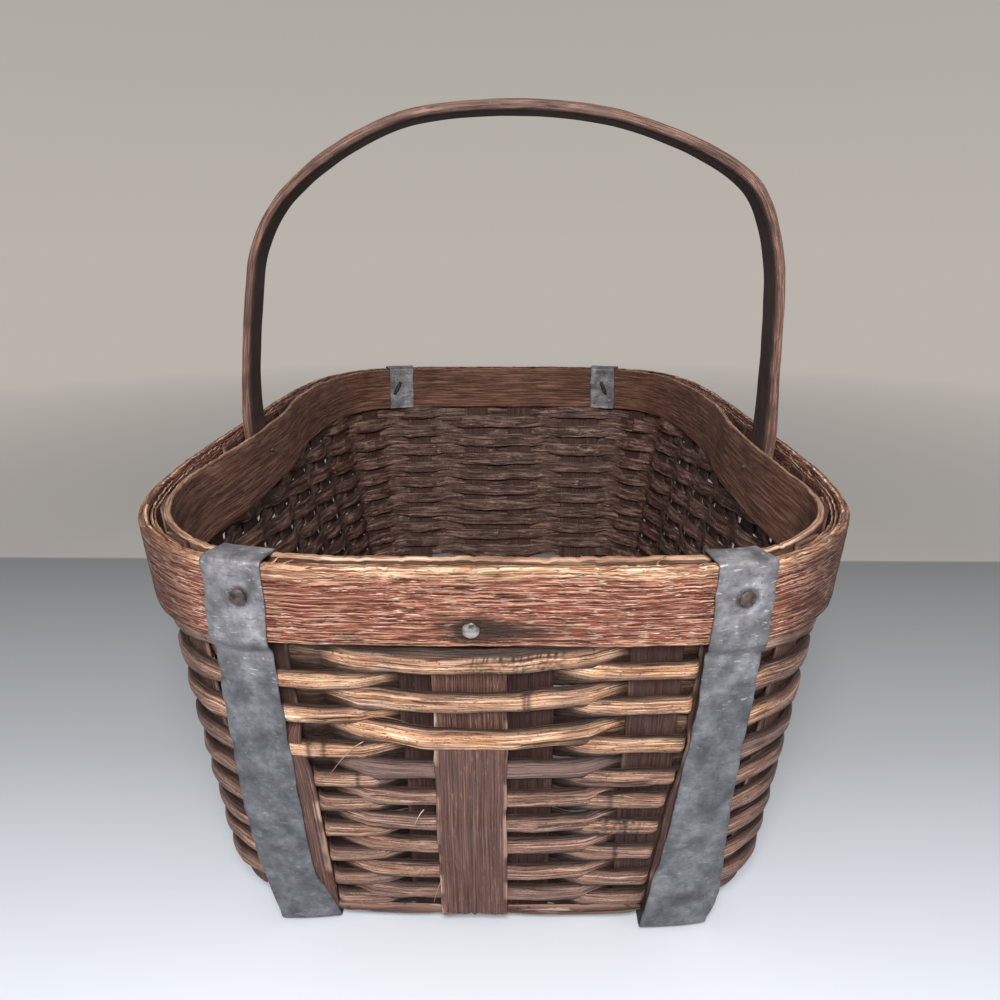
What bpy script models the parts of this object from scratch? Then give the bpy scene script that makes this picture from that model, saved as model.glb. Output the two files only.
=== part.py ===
# Gathering basket: flat splint uprights woven through with half-round rods, a
# three-layer rim, a bentwood handle, and two sheet-steel straps that run down
# the front, under the floor and up the back.
# Metres, +Z up. X is the width and Y the length, with the front end at -Y. The
# origin is on the ground under the middle of the basket.
import math

import bmesh
import bpy
import numpy as np
from mathutils import Vector

# Outer face of the rim, and how far each wall has leaned in at ground level
RIM_HALF_WIDTH = 0.190
RIM_HALF_LENGTH = 0.2745
RIM_HEIGHT = 0.218
RIM_SQUARENESS = 4.3
BASE_SQUARENESS = 6.5
SIDE_LEAN = 0.032
END_LEAN = 0.025

# Clearances between pieces that touch
GAP = 0.0003
ROD_SEAT = 0.00035
LEG_SEAT = 0.0006
TAB_SEAT = 0.0006

# Rim, from the outside in: outer band, air, middle strip, uprights, inner band
BAND_HEIGHT = 0.041
OUTER_BAND_THICKNESS = 0.005
RIM_AIR = 0.0005
MIDDLE_STRIP_THICKNESS = 0.003
MIDDLE_STRIP_HEIGHT = 0.038
INNER_BAND_THICKNESS = 0.0036
BULGE_FLAT = 0.012
BULGE_RUN = 0.12
BAND_BEND_START = 0.155
BAND_BEND_END = 0.64

# Flat uprights, each one splint that runs up a wall, under the floor and up again
UPRIGHT_THICKNESS = 0.0024
UPRIGHT_WIDTH = 0.025
EDGE_UPRIGHT_WIDTH = 0.014
CORNER_UPRIGHT_WIDTH = 0.022
UPRIGHT_BEND = 0.008
UPRIGHT_TOP_DROP = 0.003
LEFT_UPRIGHT_X = -0.0915
MIDDLE_LEFT_UPRIGHT_X = -0.029
MIDDLE_RIGHT_UPRIGHT_X = 0.0171
RIGHT_UPRIGHT_X = 0.0755
EDGE_UPRIGHT_SPACE = 0.0015
CROSS_UPRIGHT_PITCH = 0.064
CROSS_UPRIGHTS = 7
CROSSING_MARGIN = 0.001

# Half-round rods, one to a row, packed close; the top rows are thicker
ROD_THICKNESS = 0.0046
TOP_ROD_HEIGHT = 0.0094
LOW_ROD_HEIGHT = 0.0078
TOP_ROW_SPACE = 0.0006
LOW_ROW_SPACE = 0.0005
TOP_ROWS = 6
ROD_UNDER_BAND = 0.0006
ROD_OVER_BEND = 0.003
TOP_ROD_SAG = 0.004
LOW_ROD_SAG = 0.0015
ROD_END_SPACE = 0.0014
ROD_EDGE_MARGIN = 0.001
ROD_SHOULDER_OUT = 0.4
ROD_SHOULDER_UP = 0.94
OUTER_ROD_CHORD = 0.00015
INNER_ROD_CHORD = 0.0006

# Wide splint on the middle of the front, tucked behind the top rods
FRONT_SPLINT_X = -0.0087
FRONT_SPLINT_WIDTH = 0.0335
FRONT_SPLINT_THICKNESS = 0.0022
FRONT_SPLINT_FOOT = 0.008
FRONT_SPLINT_TOP_DROP = 0.003
TUCKED_ROWS = 3

# Sheet-steel straps, folded over the rim at both ends
STRAP_THICKNESS = 0.0012
STRAP_WIDTH = 0.0285
STRAP_BEND = 0.010
STRAP_FOLD = 0.0007
STRAP_TAB = 0.0405
STRAP_STEP = 0.008
LEFT_STRAP_RIM_X = -0.1092
LEFT_STRAP_BACK_X = -0.112
LEFT_STRAP_FOOT_X = -0.1085
RIGHT_STRAP_RIM_X = 0.1090
RIGHT_STRAP_FOOT_X = 0.1025

# Bentwood handle, set slightly askew across the basket
HANDLE_THICKNESS = 0.0084
LEG_THICKNESS = 0.008
LEG_TAPER = 0.03
HANDLE_WIDTH = 0.028
HANDLE_RISE = 0.206
HANDLE_CENTRE_Y = -0.0485
HANDLE_SKEW = math.radians(-7.0)
HANDLE_EDGE = 0.0015

# Nails with low domed heads
SHANK_RADIUS = 0.0014
HEAD_RADIUS = 0.0039
HEAD_RISE = 0.0016
HEAD_RIM = 0.00035
NAIL_POINT = 0.0012
STRAP_NAIL_DROP = 0.0165
RIM_NAIL_X = -0.007
RIM_NAIL_DROP = 0.034
LEG_NAIL_DROP = 0.020

# Fineness of the meshes
OUTLINE_STEPS = 1440
WALL_STEPS = 4
BEND_STEPS = 3
ARCH_STEPS = 3
BAND_FRONT_STEPS = 2
BAND_BEND_STEPS = 17
BAND_SIDE_STEPS = 6
NAIL_SIDES = 8
DOME_ANGLES = (90, 50, 0)

# The walls, in the order in which a length run along the outline meets them. A
# place on a wall is given by its X or Y, which the back and left walls meet
# from their high end.
FRONT, RIGHT, BACK, LEFT = range(4)
RUN_SIGN = {FRONT: 1, RIGHT: 1, BACK: -1, LEFT: -1}
INWARD = {
    FRONT: Vector((0.0, 1.0, 0.0)),
    RIGHT: Vector((-1.0, 0.0, 0.0)),
    BACK: Vector((0.0, -1.0, 0.0)),
    LEFT: Vector((1.0, 0.0, 0.0)),
}

# Depths of the layers below the rim's outer face
UPRIGHT_FACE_INSET = OUTER_BAND_THICKNESS + RIM_AIR + MIDDLE_STRIP_THICKNESS + GAP
UPRIGHT_INSET = UPRIGHT_FACE_INSET + UPRIGHT_THICKNESS / 2
INNER_BAND_INSET = UPRIGHT_FACE_INSET + UPRIGHT_THICKNESS + GAP
INNER_FACE_INSET = INNER_BAND_INSET + INNER_BAND_THICKNESS
LEG_INSET = UPRIGHT_FACE_INSET + UPRIGHT_THICKNESS + LEG_SEAT
LEG_BULGE = LEG_THICKNESS + 2 * LEG_SEAT
ROD_SHIFT = UPRIGHT_THICKNESS / 2 + ROD_SEAT + ROD_THICKNESS / 2
ROD_FACE_INSET = UPRIGHT_INSET - ROD_SHIFT - ROD_THICKNESS / 2

# Heights
BAND_FOOT = RIM_HEIGHT - BAND_HEIGHT
UPRIGHT_TOP = RIM_HEIGHT - UPRIGHT_TOP_DROP
LAYER_SHIFT = (UPRIGHT_THICKNESS + GAP) / 2
FLOOR_LEVEL = STRAP_THICKNESS + GAP + UPRIGHT_THICKNESS / 2 + LAYER_SHIFT
BEND_TOP = FLOOR_LEVEL + UPRIGHT_BEND

EDGE_UPRIGHT_X = RIGHT_UPRIGHT_X + (UPRIGHT_WIDTH + EDGE_UPRIGHT_WIDTH) / 2 + EDGE_UPRIGHT_SPACE


def new_collection(name):
    collection = bpy.data.collections.new(name)
    bpy.context.scene.collection.children.link(collection)
    return collection


def new_material(name, color, roughness, metallic=0.0):
    made = bpy.data.materials.new(name)
    made.use_nodes = True
    shader = made.node_tree.nodes["Principled BSDF"]
    shader.inputs["Base Color"].default_value = (*color, 1.0)
    shader.inputs["Roughness"].default_value = roughness
    shader.inputs["Metallic"].default_value = metallic
    return made


for old in list(bpy.data.objects):
    bpy.data.objects.remove(old, do_unlink=True)

basket = new_collection("gathering_basket")
cutters = new_collection("gathering_basket_cutters")
root = bpy.data.objects.new("gathering_basket_origin", None)
basket.objects.link(root)

rim_wood = new_material("rim_wood", (0.32, 0.12, 0.06), 0.7)
handle_wood = new_material("handle_wood", (0.20, 0.09, 0.06), 0.55)
splint_wood = new_material("splint_wood", (0.20, 0.09, 0.06), 0.75)
rod_wood = new_material("rod_wood", (0.42, 0.22, 0.10), 0.6)
strap_steel = new_material("strap_steel", (0.27, 0.29, 0.30), 0.45, 0.8)
nail_steel = new_material("nail_steel", (0.20, 0.15, 0.13), 0.6, 0.7)


def add_part(name, mesh, finish):
    mesh.materials.append(finish)
    made = bpy.data.objects.new(name, mesh)
    basket.objects.link(made)
    made.parent = root
    return made


def add_guide(name, data):
    made = bpy.data.objects.new(name, data)
    made.hide_render = True
    made.display_type = "WIRE"
    cutters.objects.link(made)
    return made


def add_thickness(part, thickness):
    shell = part.modifiers.new("thickness", "SOLIDIFY")
    shell.thickness = thickness
    shell.offset = 0.0
    shell.use_even_offset = True


# The outline at a height is a rounded rectangle (a superellipse): its running
# length from the middle of the front, its points and their outward directions.
outlines = {}


def outline(height):
    key = round(height, 6)
    if key not in outlines:
        share = height / RIM_HEIGHT
        half_width = RIM_HALF_WIDTH - SIDE_LEAN * (1 - share)
        half_length = RIM_HALF_LENGTH - END_LEAN * (1 - share)
        power = BASE_SQUARENESS + (RIM_SQUARENESS - BASE_SQUARENESS) * share
        turn = np.linspace(-math.pi / 2, 3 * math.pi / 2, OUTLINE_STEPS + 1)
        across, along = np.cos(turn), np.sin(turn)
        reach = (abs(across / half_width) ** power + abs(along / half_length) ** power) ** (-1 / power)
        points = np.c_[reach * across, reach * along]
        steep_x = np.sign(across) * abs(points[:, 0] / half_width) ** (power - 1) / half_width
        steep_y = np.sign(along) * abs(points[:, 1] / half_length) ** (power - 1) / half_length
        outward = np.c_[steep_x, steep_y] / np.hypot(steep_x, steep_y)[:, None]
        lengths = np.cumsum(np.linalg.norm(np.diff(points, axis=0), axis=1))
        outlines[key] = (np.r_[0.0, lengths], points, outward)
    return outlines[key]


def quarter(height):
    return outline(height)[0][-1] / 4


def run_point(height, run, inset):
    lengths, points, outward = outline(height)
    run = run % lengths[-1]
    place = Vector([np.interp(run, lengths, points[:, axis]) for axis in (0, 1)])
    normal = Vector([np.interp(run, lengths, outward[:, axis]) for axis in (0, 1)]).normalized()
    return (place - normal * inset).to_3d() + Vector((0.0, 0.0, height))


def wall_point(height, side, place, inset):
    return run_point(height, side * quarter(height) + RUN_SIGN[side] * place, inset)


def wall_normal(height, side, place):
    step = 0.001
    along = wall_point(height, side, place + step, 0.0) - wall_point(height, side, place - step, 0.0)
    up = wall_point(height + step, side, place, 0.0) - wall_point(height - step, side, place, 0.0)
    return along.cross(up).normalized() * RUN_SIGN[side]


# A strip from rows of points across its middle surface
def add_strip(name, rows, thickness, finish):
    row_count, point_count = len(rows) - 1, len(rows[0]) - 1
    grid = bmesh.new()
    bmesh.ops.create_grid(grid, x_segments=row_count, y_segments=point_count, size=1.0)
    for vertex in grid.verts:
        row = round((vertex.co.x + 1) / 2 * row_count)
        point = round((vertex.co.y + 1) / 2 * point_count)
        vertex.co = rows[row][point]
    mesh = bpy.data.meshes.new(name)
    grid.to_mesh(mesh)
    grid.free()
    part = add_part(name, mesh, finish)
    add_thickness(part, thickness)
    return part


def spread(centre, width, pieces):
    return [centre - width / 2 + width * piece / pieces for piece in range(pieces + 1)]


# A line down a wall through (height, place, inset) stations, then in under the floor
def wall_line(side, stations, level, bend):
    points = [wall_point(height, side, place, inset) for height, place, inset in stations]
    _, place, inset = stations[-1]
    corner = wall_point(level, side, place, inset)
    start, end = points[-1], corner + INWARD[side] * bend
    for step in range(1, BEND_STEPS + 1):
        share = step / BEND_STEPS
        points.append(start.lerp(corner, share).lerp(corner.lerp(end, share), share))
    return points


# Points on the floor between two feet, at (place along the axis, level) stations
def floor_line(start, end, axis, stations):
    points = []
    for place, level in stations:
        point = start.lerp(end, (place - start[axis]) / (end[axis] - start[axis]))
        point.z = level
        points.append(point)
    return points


# The uprights' edges as (low, high) places, in the groups that a rod passes at once
def edges(place, width):
    return (place - width / 2, place + width / 2)


left_group = edges(LEFT_UPRIGHT_X, UPRIGHT_WIDTH)
middle_group = (MIDDLE_LEFT_UPRIGHT_X - UPRIGHT_WIDTH / 2, MIDDLE_RIGHT_UPRIGHT_X + UPRIGHT_WIDTH / 2)
right_group = (RIGHT_UPRIGHT_X - UPRIGHT_WIDTH / 2, EDGE_UPRIGHT_X + EDGE_UPRIGHT_WIDTH / 2)
end_groups = [left_group, middle_group, right_group]
cross_places = [(index - (CROSS_UPRIGHTS - 1) / 2) * CROSS_UPRIGHT_PITCH for index in range(CROSS_UPRIGHTS)]
side_groups = [edges(place, UPRIGHT_WIDTH) for place in cross_places]


# All round the basket from the front's left group, with a corner upright halfway
# between the last group of each wall and the first of the next
def weave_groups(height):
    walls = []
    for side in (FRONT, RIGHT, BACK, LEFT):
        groups = end_groups if side in (FRONT, BACK) else side_groups
        if RUN_SIGN[side] < 0:
            groups = [(-high, -low) for low, high in reversed(groups)]
        start = side * quarter(height)
        walls.append([(start + low, start + high) for low, high in groups])
    around = []
    for side, groups in enumerate(walls):
        around += groups
        next_low = walls[(side + 1) % 4][0][0] + (4 * quarter(height) if side == LEFT else 0.0)
        around.append(edges((groups[-1][1] + next_low) / 2, CORNER_UPRIGHT_WIDTH))
    return around


# The floor is a plain weave: each upright lies over one crossing and under the next
weave_columns = [
    edges(LEFT_UPRIGHT_X, UPRIGHT_WIDTH),
    edges(MIDDLE_LEFT_UPRIGHT_X, UPRIGHT_WIDTH),
    edges(MIDDLE_RIGHT_UPRIGHT_X, UPRIGHT_WIDTH),
    right_group,
]


def crossings(groups, index, shift):
    stations = []
    for other, (low, high) in enumerate(groups):
        level = FLOOR_LEVEL + (shift if (index + other) % 2 == 0 else -shift)
        stations += [(low - CROSSING_MARGIN, level), (high + CROSSING_MARGIN, level)]
    return stations


def add_upright(name, sides, place, width, pieces, stations):
    heights = np.linspace(UPRIGHT_TOP, BEND_TOP, WALL_STEPS + 1)
    axis = 1 if FRONT in sides else 0
    lines = []
    for line_place in spread(place, width, pieces):
        down = [(height, line_place, UPRIGHT_INSET) for height in heights]
        first, last = [wall_line(side, down, FLOOR_LEVEL, UPRIGHT_BEND) for side in sides]
        lines.append(first + floor_line(first[-1], last[-1], axis, stations) + last[::-1])
    return add_strip(name, list(zip(*lines)), UPRIGHT_THICKNESS, splint_wood)


long_uprights = [
    (LEFT_UPRIGHT_X, UPRIGHT_WIDTH, 2, 0),
    (MIDDLE_LEFT_UPRIGHT_X, UPRIGHT_WIDTH, 1, 1),
    (MIDDLE_RIGHT_UPRIGHT_X, UPRIGHT_WIDTH, 1, 2),
    (RIGHT_UPRIGHT_X, UPRIGHT_WIDTH, 2, 3),
    (EDGE_UPRIGHT_X, EDGE_UPRIGHT_WIDTH, 1, 3),
]
for number, (place, width, pieces, column) in enumerate(long_uprights, 1):
    add_upright(f"upright_long_{number}", (FRONT, BACK), place, width, pieces,
                crossings(side_groups, column, LAYER_SHIFT))

cross_uprights = []
for index, place in enumerate(cross_places):
    pieces = 2 if index in (0, CROSS_UPRIGHTS - 1) else 1
    cross_uprights.append(add_upright(f"upright_cross_{index + 1}", (LEFT, RIGHT), place, UPRIGHT_WIDTH,
                                      pieces, crossings(weave_columns, index, -LAYER_SHIFT)))


# Corner uprights stop at the floor, held by the rods and the rim
corner_indices = {
    "front_right": len(end_groups),
    "back_right": len(end_groups) + 1 + CROSS_UPRIGHTS,
    "back_left": 2 * len(end_groups) + 2 + CROSS_UPRIGHTS,
    "front_left": 2 * len(end_groups) + 3 + 2 * CROSS_UPRIGHTS,
}
for name, index in corner_indices.items():
    rows = []
    for height in np.linspace(UPRIGHT_TOP, BEND_TOP, WALL_STEPS + 1):
        low, high = weave_groups(height)[index]
        rows.append([run_point(height, run, UPRIGHT_INSET) for run in np.linspace(low, high, 4)])
    add_strip(f"upright_corner_{name}", rows, UPRIGHT_THICKNESS, splint_wood)


# The rows of rods from the top down, as (height, rod height, sag)
def rod_table():
    table = []
    foot = BAND_FOOT - ROD_UNDER_BAND
    while True:
        upper = len(table) < TOP_ROWS
        tall = TOP_ROD_HEIGHT if upper else LOW_ROD_HEIGHT
        if foot - tall < BEND_TOP + ROD_OVER_BEND:
            return table
        table.append((foot - tall / 2, tall, TOP_ROD_SAG if upper else LOW_ROD_SAG))
        foot -= tall + (TOP_ROW_SPACE if upper else LOW_ROW_SPACE)


# A half-round section: flat towards the inside of the basket, crown outside,
# and tilted with the wall
def rod_section(name, tall):
    half, high = ROD_THICKNESS / 2, tall / 2
    tilt = (SIDE_LEAN + END_LEAN) / 2 / RIM_HEIGHT
    curve = bpy.data.curves.new(name, "CURVE")
    curve.dimensions = "2D"
    spline = curve.splines.new("POLY")
    out, shoulder = half * ROD_SHOULDER_OUT, high * ROD_SHOULDER_UP
    corners = [(-half, -high), (out, -shoulder), (half, 0.0), (out, shoulder), (-half, high)]
    spline.points.add(len(corners) - 1)
    for point, (across, up) in zip(spline.points, corners):
        point.co = (across + tilt * up, up, 0.0, 1.0)
    spline.use_cyclic_u = True
    return add_guide(name, curve)


# Places where a rod bends as it passes one group, as (run, bow outwards, sag).
# Its straight pieces stay within a chord height of the wall's curve.
def rod_stations(height, row, group, outside, is_front_middle, sag):
    low, high = group[0] - ROD_EDGE_MARGIN, group[1] + ROD_EDGE_MARGIN
    if outside and row % 2 == 0 and is_front_middle:
        low_splint, high_splint = edges(FRONT_SPLINT_X, FRONT_SPLINT_WIDTH + 2 * ROD_EDGE_MARGIN)
        bow = FRONT_SPLINT_THICKNESS + GAP if row < 2 * TUCKED_ROWS else 0.0
        return [(low, 0.0, 0.0), (low_splint, bow, sag), (high_splint, bow, sag), (high, 0.0, 0.0)]
    first = run_point(height, low, 0.0) - run_point(height, low, 1.0)
    last = run_point(height, high, 0.0) - run_point(height, high, 1.0)
    chord = OUTER_ROD_CHORD if outside else INNER_ROD_CHORD
    pieces = math.ceil(math.sqrt((high - low) * first.angle(last) / 8 / chord))
    return [(run, 0.0, 0.0) for run in np.linspace(low, high, max(pieces, 1) + 1)]


# Even rows pass outside the middle uprights of both ends, odd rows inside them.
# A rod's two ends meet behind an upright, further round the basket in each row.
def rod_path(row, height, sag):
    groups = weave_groups(height)
    count, total = len(groups), 4 * quarter(height)
    end = (7 * row + 4) % count
    end += (end + row) % 2
    points = []
    for step in range(count + 1):
        lap, index = divmod(end + step, count)
        outside = (index + row) % 2 == 1
        front_middle = index == 1
        stations = rod_stations(height, row, groups[index], outside, front_middle, sag)
        middle = sum(groups[index]) / 2
        if step == 0:
            stations = [(middle + ROD_END_SPACE / 2, 0.0, 0.0), stations[-1]]
        if step == count:
            stations = [stations[0], (middle - ROD_END_SPACE / 2, 0.0, 0.0)]
        for run, bow, drop in stations:
            shift = ROD_SHIFT + bow if outside else -ROD_SHIFT
            point = run_point(height, run + lap * total, UPRIGHT_INSET - shift)
            point.z -= drop
            points.append(point)
    return points


# A curve becomes a welded mesh, its points moved by a rule where one is given
def mesh_from_curve(guide, name, move=None):
    evaluated = guide.evaluated_get(bpy.context.evaluated_depsgraph_get())
    mesh = bpy.data.meshes.new_from_object(evaluated)
    mesh.name = name
    mesh.materials.clear()
    solid = bmesh.new()
    solid.from_mesh(mesh)
    bmesh.ops.remove_doubles(solid, verts=solid.verts, dist=0.00001)
    if move:
        for vertex in solid.verts:
            vertex.co = move(vertex.co)
    bmesh.ops.recalc_face_normals(solid, faces=solid.faces)
    solid.to_mesh(mesh)
    solid.free()
    bpy.data.objects.remove(guide, do_unlink=True)
    return mesh


def add_rod(name, points, section):
    curve = bpy.data.curves.new(name, "CURVE")
    curve.dimensions = "3D"
    curve.twist_mode = "Z_UP"
    curve.bevel_mode = "OBJECT"
    curve.bevel_object = section
    curve.use_fill_caps = True
    spline = curve.splines.new("POLY")
    spline.points.add(len(points) - 1)
    for target, point in zip(spline.points, points):
        target.co = (*point, 1.0)
    return add_part(name, mesh_from_curve(add_guide(name + "_path", curve), name), rod_wood)


rod_rows = rod_table()
sections = {tall: rod_section(f"rod_section_{index}", tall)
            for index, tall in enumerate((TOP_ROD_HEIGHT, LOW_ROD_HEIGHT))}
for row, (height, tall, sag) in enumerate(rod_rows):
    add_rod(f"rod_row_{row + 1:02d}", rod_path(row, height, sag), sections[tall])


# The front splint goes behind the tucked rows, then comes out over all the others
def add_front_splint():
    last_tucked = rod_rows[2 * TUCKED_ROWS - 2]
    first_covered = rod_rows[2 * TUCKED_ROWS]
    tucked_inset = UPRIGHT_FACE_INSET - GAP - FRONT_SPLINT_THICKNESS / 2
    outer_inset = ROD_FACE_INSET - GAP - FRONT_SPLINT_THICKNESS / 2
    leaves = last_tucked[0] - last_tucked[2] - last_tucked[1] / 2 - 2 * GAP
    lands = first_covered[0] + first_covered[1] / 2 + 2 * GAP
    stations = [(BAND_FOOT - FRONT_SPLINT_TOP_DROP, tucked_inset), (leaves, tucked_inset), (lands, outer_inset)]
    stations += [(height, outer_inset) for height in np.linspace(lands, FRONT_SPLINT_FOOT, WALL_STEPS)[1:]]
    rows = [[wall_point(height, FRONT, place, inset) for place in spread(FRONT_SPLINT_X, FRONT_SPLINT_WIDTH, 2)]
            for height, inset in stations]
    add_strip("front_splint", rows, FRONT_SPLINT_THICKNESS, splint_wood)


add_front_splint()


# Where the handle's legs cross the walls, as Y on each side
def leg_place(side):
    reach = RIM_HALF_WIDTH - LEG_INSET
    return HANDLE_CENTRE_Y + math.tan(HANDLE_SKEW) * (reach if side == RIGHT else -reach)


# How far the inner band bulges inwards, to pass round the legs
def leg_bulge(height, run):
    flat = HANDLE_WIDTH / 2 + BULGE_FLAT
    legs = [side * quarter(height) + RUN_SIGN[side] * leg_place(side) for side in (RIGHT, LEFT)]
    away = min(abs(run - leg) for leg in legs)
    share = min(max((away - flat) / BULGE_RUN, 0.0), 1.0)
    return LEG_BULGE * (1 + math.cos(math.pi * share)) / 2


# Corners of the bands as shares of the quarter from the front's middle to the
# side's middle: few on the flat stretches, most on the bend between them
def quarter_shares():
    shares = list(np.linspace(0.0, BAND_BEND_START, BAND_FRONT_STEPS, endpoint=False))
    shares += list(np.linspace(BAND_BEND_START, BAND_BEND_END, BAND_BEND_STEPS, endpoint=False))
    shares += list(np.linspace(BAND_BEND_END, 1.0, BAND_SIDE_STEPS, endpoint=False))
    return shares


def add_band(name, inset, thickness, foot, top, bulges=False):
    shares = quarter_shares()
    mirrored = [0.0] + [1.0 - share for share in shares[:0:-1]]
    places = [side + share for side in range(4) for share in (mirrored if side % 2 else shares)]
    tube = bmesh.new()
    bmesh.ops.create_cone(tube, cap_ends=False, segments=len(places), radius1=1.0, radius2=1.0, depth=1.0)
    for vertex in tube.verts:
        turn = math.atan2(vertex.co.y, vertex.co.x) / (2 * math.pi)
        height = top if vertex.co.z > 0 else foot
        run = places[round(turn * len(places)) % len(places)] * quarter(height)
        extra = leg_bulge(height, run) if bulges else 0.0
        vertex.co = run_point(height, run, inset + thickness / 2 + extra)
    mesh = bpy.data.meshes.new(name)
    tube.to_mesh(mesh)
    tube.free()
    band = add_part(name, mesh, rim_wood)
    add_thickness(band, thickness)
    return band


outer_band = add_band("rim_outer_band", 0.0, OUTER_BAND_THICKNESS, BAND_FOOT, RIM_HEIGHT)
middle_strip = add_band("rim_middle_strip", OUTER_BAND_THICKNESS + RIM_AIR, MIDDLE_STRIP_THICKNESS,
                        UPRIGHT_TOP - MIDDLE_STRIP_HEIGHT, UPRIGHT_TOP)
inner_band = add_band("rim_inner_band", INNER_BAND_INSET, INNER_BAND_THICKNESS, BAND_FOOT, RIM_HEIGHT, True)


# The handle's outer edge above the rim, as shares of its half span and its rise.
# It leans a little, with a fuller shoulder on the right.
ARCH = [
    (-0.985, 0.19), (-0.946, 0.42), (-0.898, 0.60), (-0.780, 0.752), (-0.567, 0.888), (-0.309, 0.976), (0.0, 1.0),
    (0.309, 0.981), (0.550, 0.926), (0.792, 0.828), (0.910, 0.726), (0.977, 0.544), (0.997, 0.277),
]


def leg_reach(height):
    far_edge = leg_place(RIGHT) - HANDLE_WIDTH / 2
    return wall_point(height, RIGHT, far_edge, LEG_INSET).x


def smooth_between(before, start, end, after, share):
    pull_start, pull_end = (end - before) / 2, (after - start) / 2
    square, cube = share ** 2, share ** 3
    return (start * (2 * cube - 3 * square + 1) + pull_start * (cube - 2 * square + share)
            + end * (3 * square - 2 * cube) + pull_end * (cube - square))


def handle_outer_line():
    foot = BAND_FOOT + GAP
    span = leg_reach(RIM_HEIGHT)
    knots = [Vector((-leg_reach(foot), foot)), Vector((-span, RIM_HEIGHT))]
    knots += [Vector((across * span, RIM_HEIGHT + up * HANDLE_RISE)) for across, up in ARCH]
    knots += [Vector((span, RIM_HEIGHT)), Vector((leg_reach(foot), foot))]
    line = [knots[0]]
    for index in range(1, len(knots) - 2):
        for step in range(ARCH_STEPS):
            line.append(smooth_between(*knots[index - 1:index + 3], step / ARCH_STEPS))
    return line + knots[-2:]


def handle_inner_line(outer):
    inner = []
    for index, point in enumerate(outer):
        ahead = outer[min(index + 1, len(outer) - 1)] - outer[max(index - 1, 0)]
        inward = Vector((ahead.y, -ahead.x)).normalized()
        share = min(max((point.y - RIM_HEIGHT) / LEG_TAPER, 0.0), 1.0)
        inner.append(point + inward * (LEG_THICKNESS + (HANDLE_THICKNESS - LEG_THICKNESS) * share))
    return inner


# From the flat curve's X, Y and depth to the skewed upright plane
def stand_up(point):
    skewed_y = HANDLE_CENTRE_Y + point.x * math.tan(HANDLE_SKEW) + point.z
    return Vector((point.x, skewed_y, point.y))


def add_handle():
    outer = handle_outer_line()
    corners = outer + handle_inner_line(outer)[::-1]
    curve = bpy.data.curves.new("handle", "CURVE")
    curve.dimensions = "2D"
    curve.fill_mode = "BOTH"
    curve.bevel_depth = HANDLE_EDGE
    curve.bevel_resolution = 0
    curve.offset = -HANDLE_EDGE
    curve.extrude = HANDLE_WIDTH / 2 - HANDLE_EDGE
    spline = curve.splines.new("POLY")
    spline.points.add(len(corners) - 1)
    for target, corner in zip(spline.points, corners):
        target.co = (corner.x, corner.y, 0.0, 1.0)
    spline.use_cyclic_u = True
    return add_part("handle", mesh_from_curve(add_guide("handle_path", curve), "handle", stand_up), handle_wood)


handle = add_handle()


# A strap: inner tab, fold over the rim, down over the band, step in to the rods,
# down to the ground and straight under to the other end
def add_strap(name, front_x, back_x, foot_x):
    half = STRAP_THICKNESS / 2
    tab_inset, over_inset, low_inset = INNER_FACE_INSET + TAB_SEAT + half, -GAP - half, ROD_FACE_INSET - GAP - half
    fold_top = RIM_HEIGHT + GAP + half
    step_top = BAND_FOOT - GAP
    shape = [
        (RIM_HEIGHT - STRAP_TAB, tab_inset),
        (fold_top - STRAP_FOLD, tab_inset),
        (fold_top, tab_inset - STRAP_FOLD),
        (fold_top, over_inset + STRAP_FOLD),
        (fold_top - STRAP_FOLD, over_inset),
        (step_top, over_inset),
        (step_top - STRAP_STEP, low_inset),
    ]
    heights = np.linspace(step_top - STRAP_STEP, half + STRAP_BEND, WALL_STEPS)[1:]
    shape += [(height, low_inset) for height in heights]
    lines = []
    for offset in spread(0.0, STRAP_WIDTH, 2):
        ends = []
        for side, rim_x in ((FRONT, front_x), (BACK, back_x)):
            centres = [foot_x + (rim_x - foot_x) * min(height / step_top, 1.0) for height, inset in shape]
            stations = [(height, centre + offset, inset) for centre, (height, inset) in zip(centres, shape)]
            ends.append(wall_line(side, stations, half, STRAP_BEND))
        front, back = ends
        lines.append(front + floor_line(front[-1], back[-1], 1, [(0.0, half)]) + back[::-1])
    return add_strip(name, list(zip(*lines)), STRAP_THICKNESS, strap_steel)


strap_left = add_strap("strap_left", LEFT_STRAP_RIM_X, LEFT_STRAP_BACK_X, LEFT_STRAP_FOOT_X)
strap_right = add_strap("strap_right", RIGHT_STRAP_RIM_X, RIGHT_STRAP_RIM_X, RIGHT_STRAP_FOOT_X)


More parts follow.
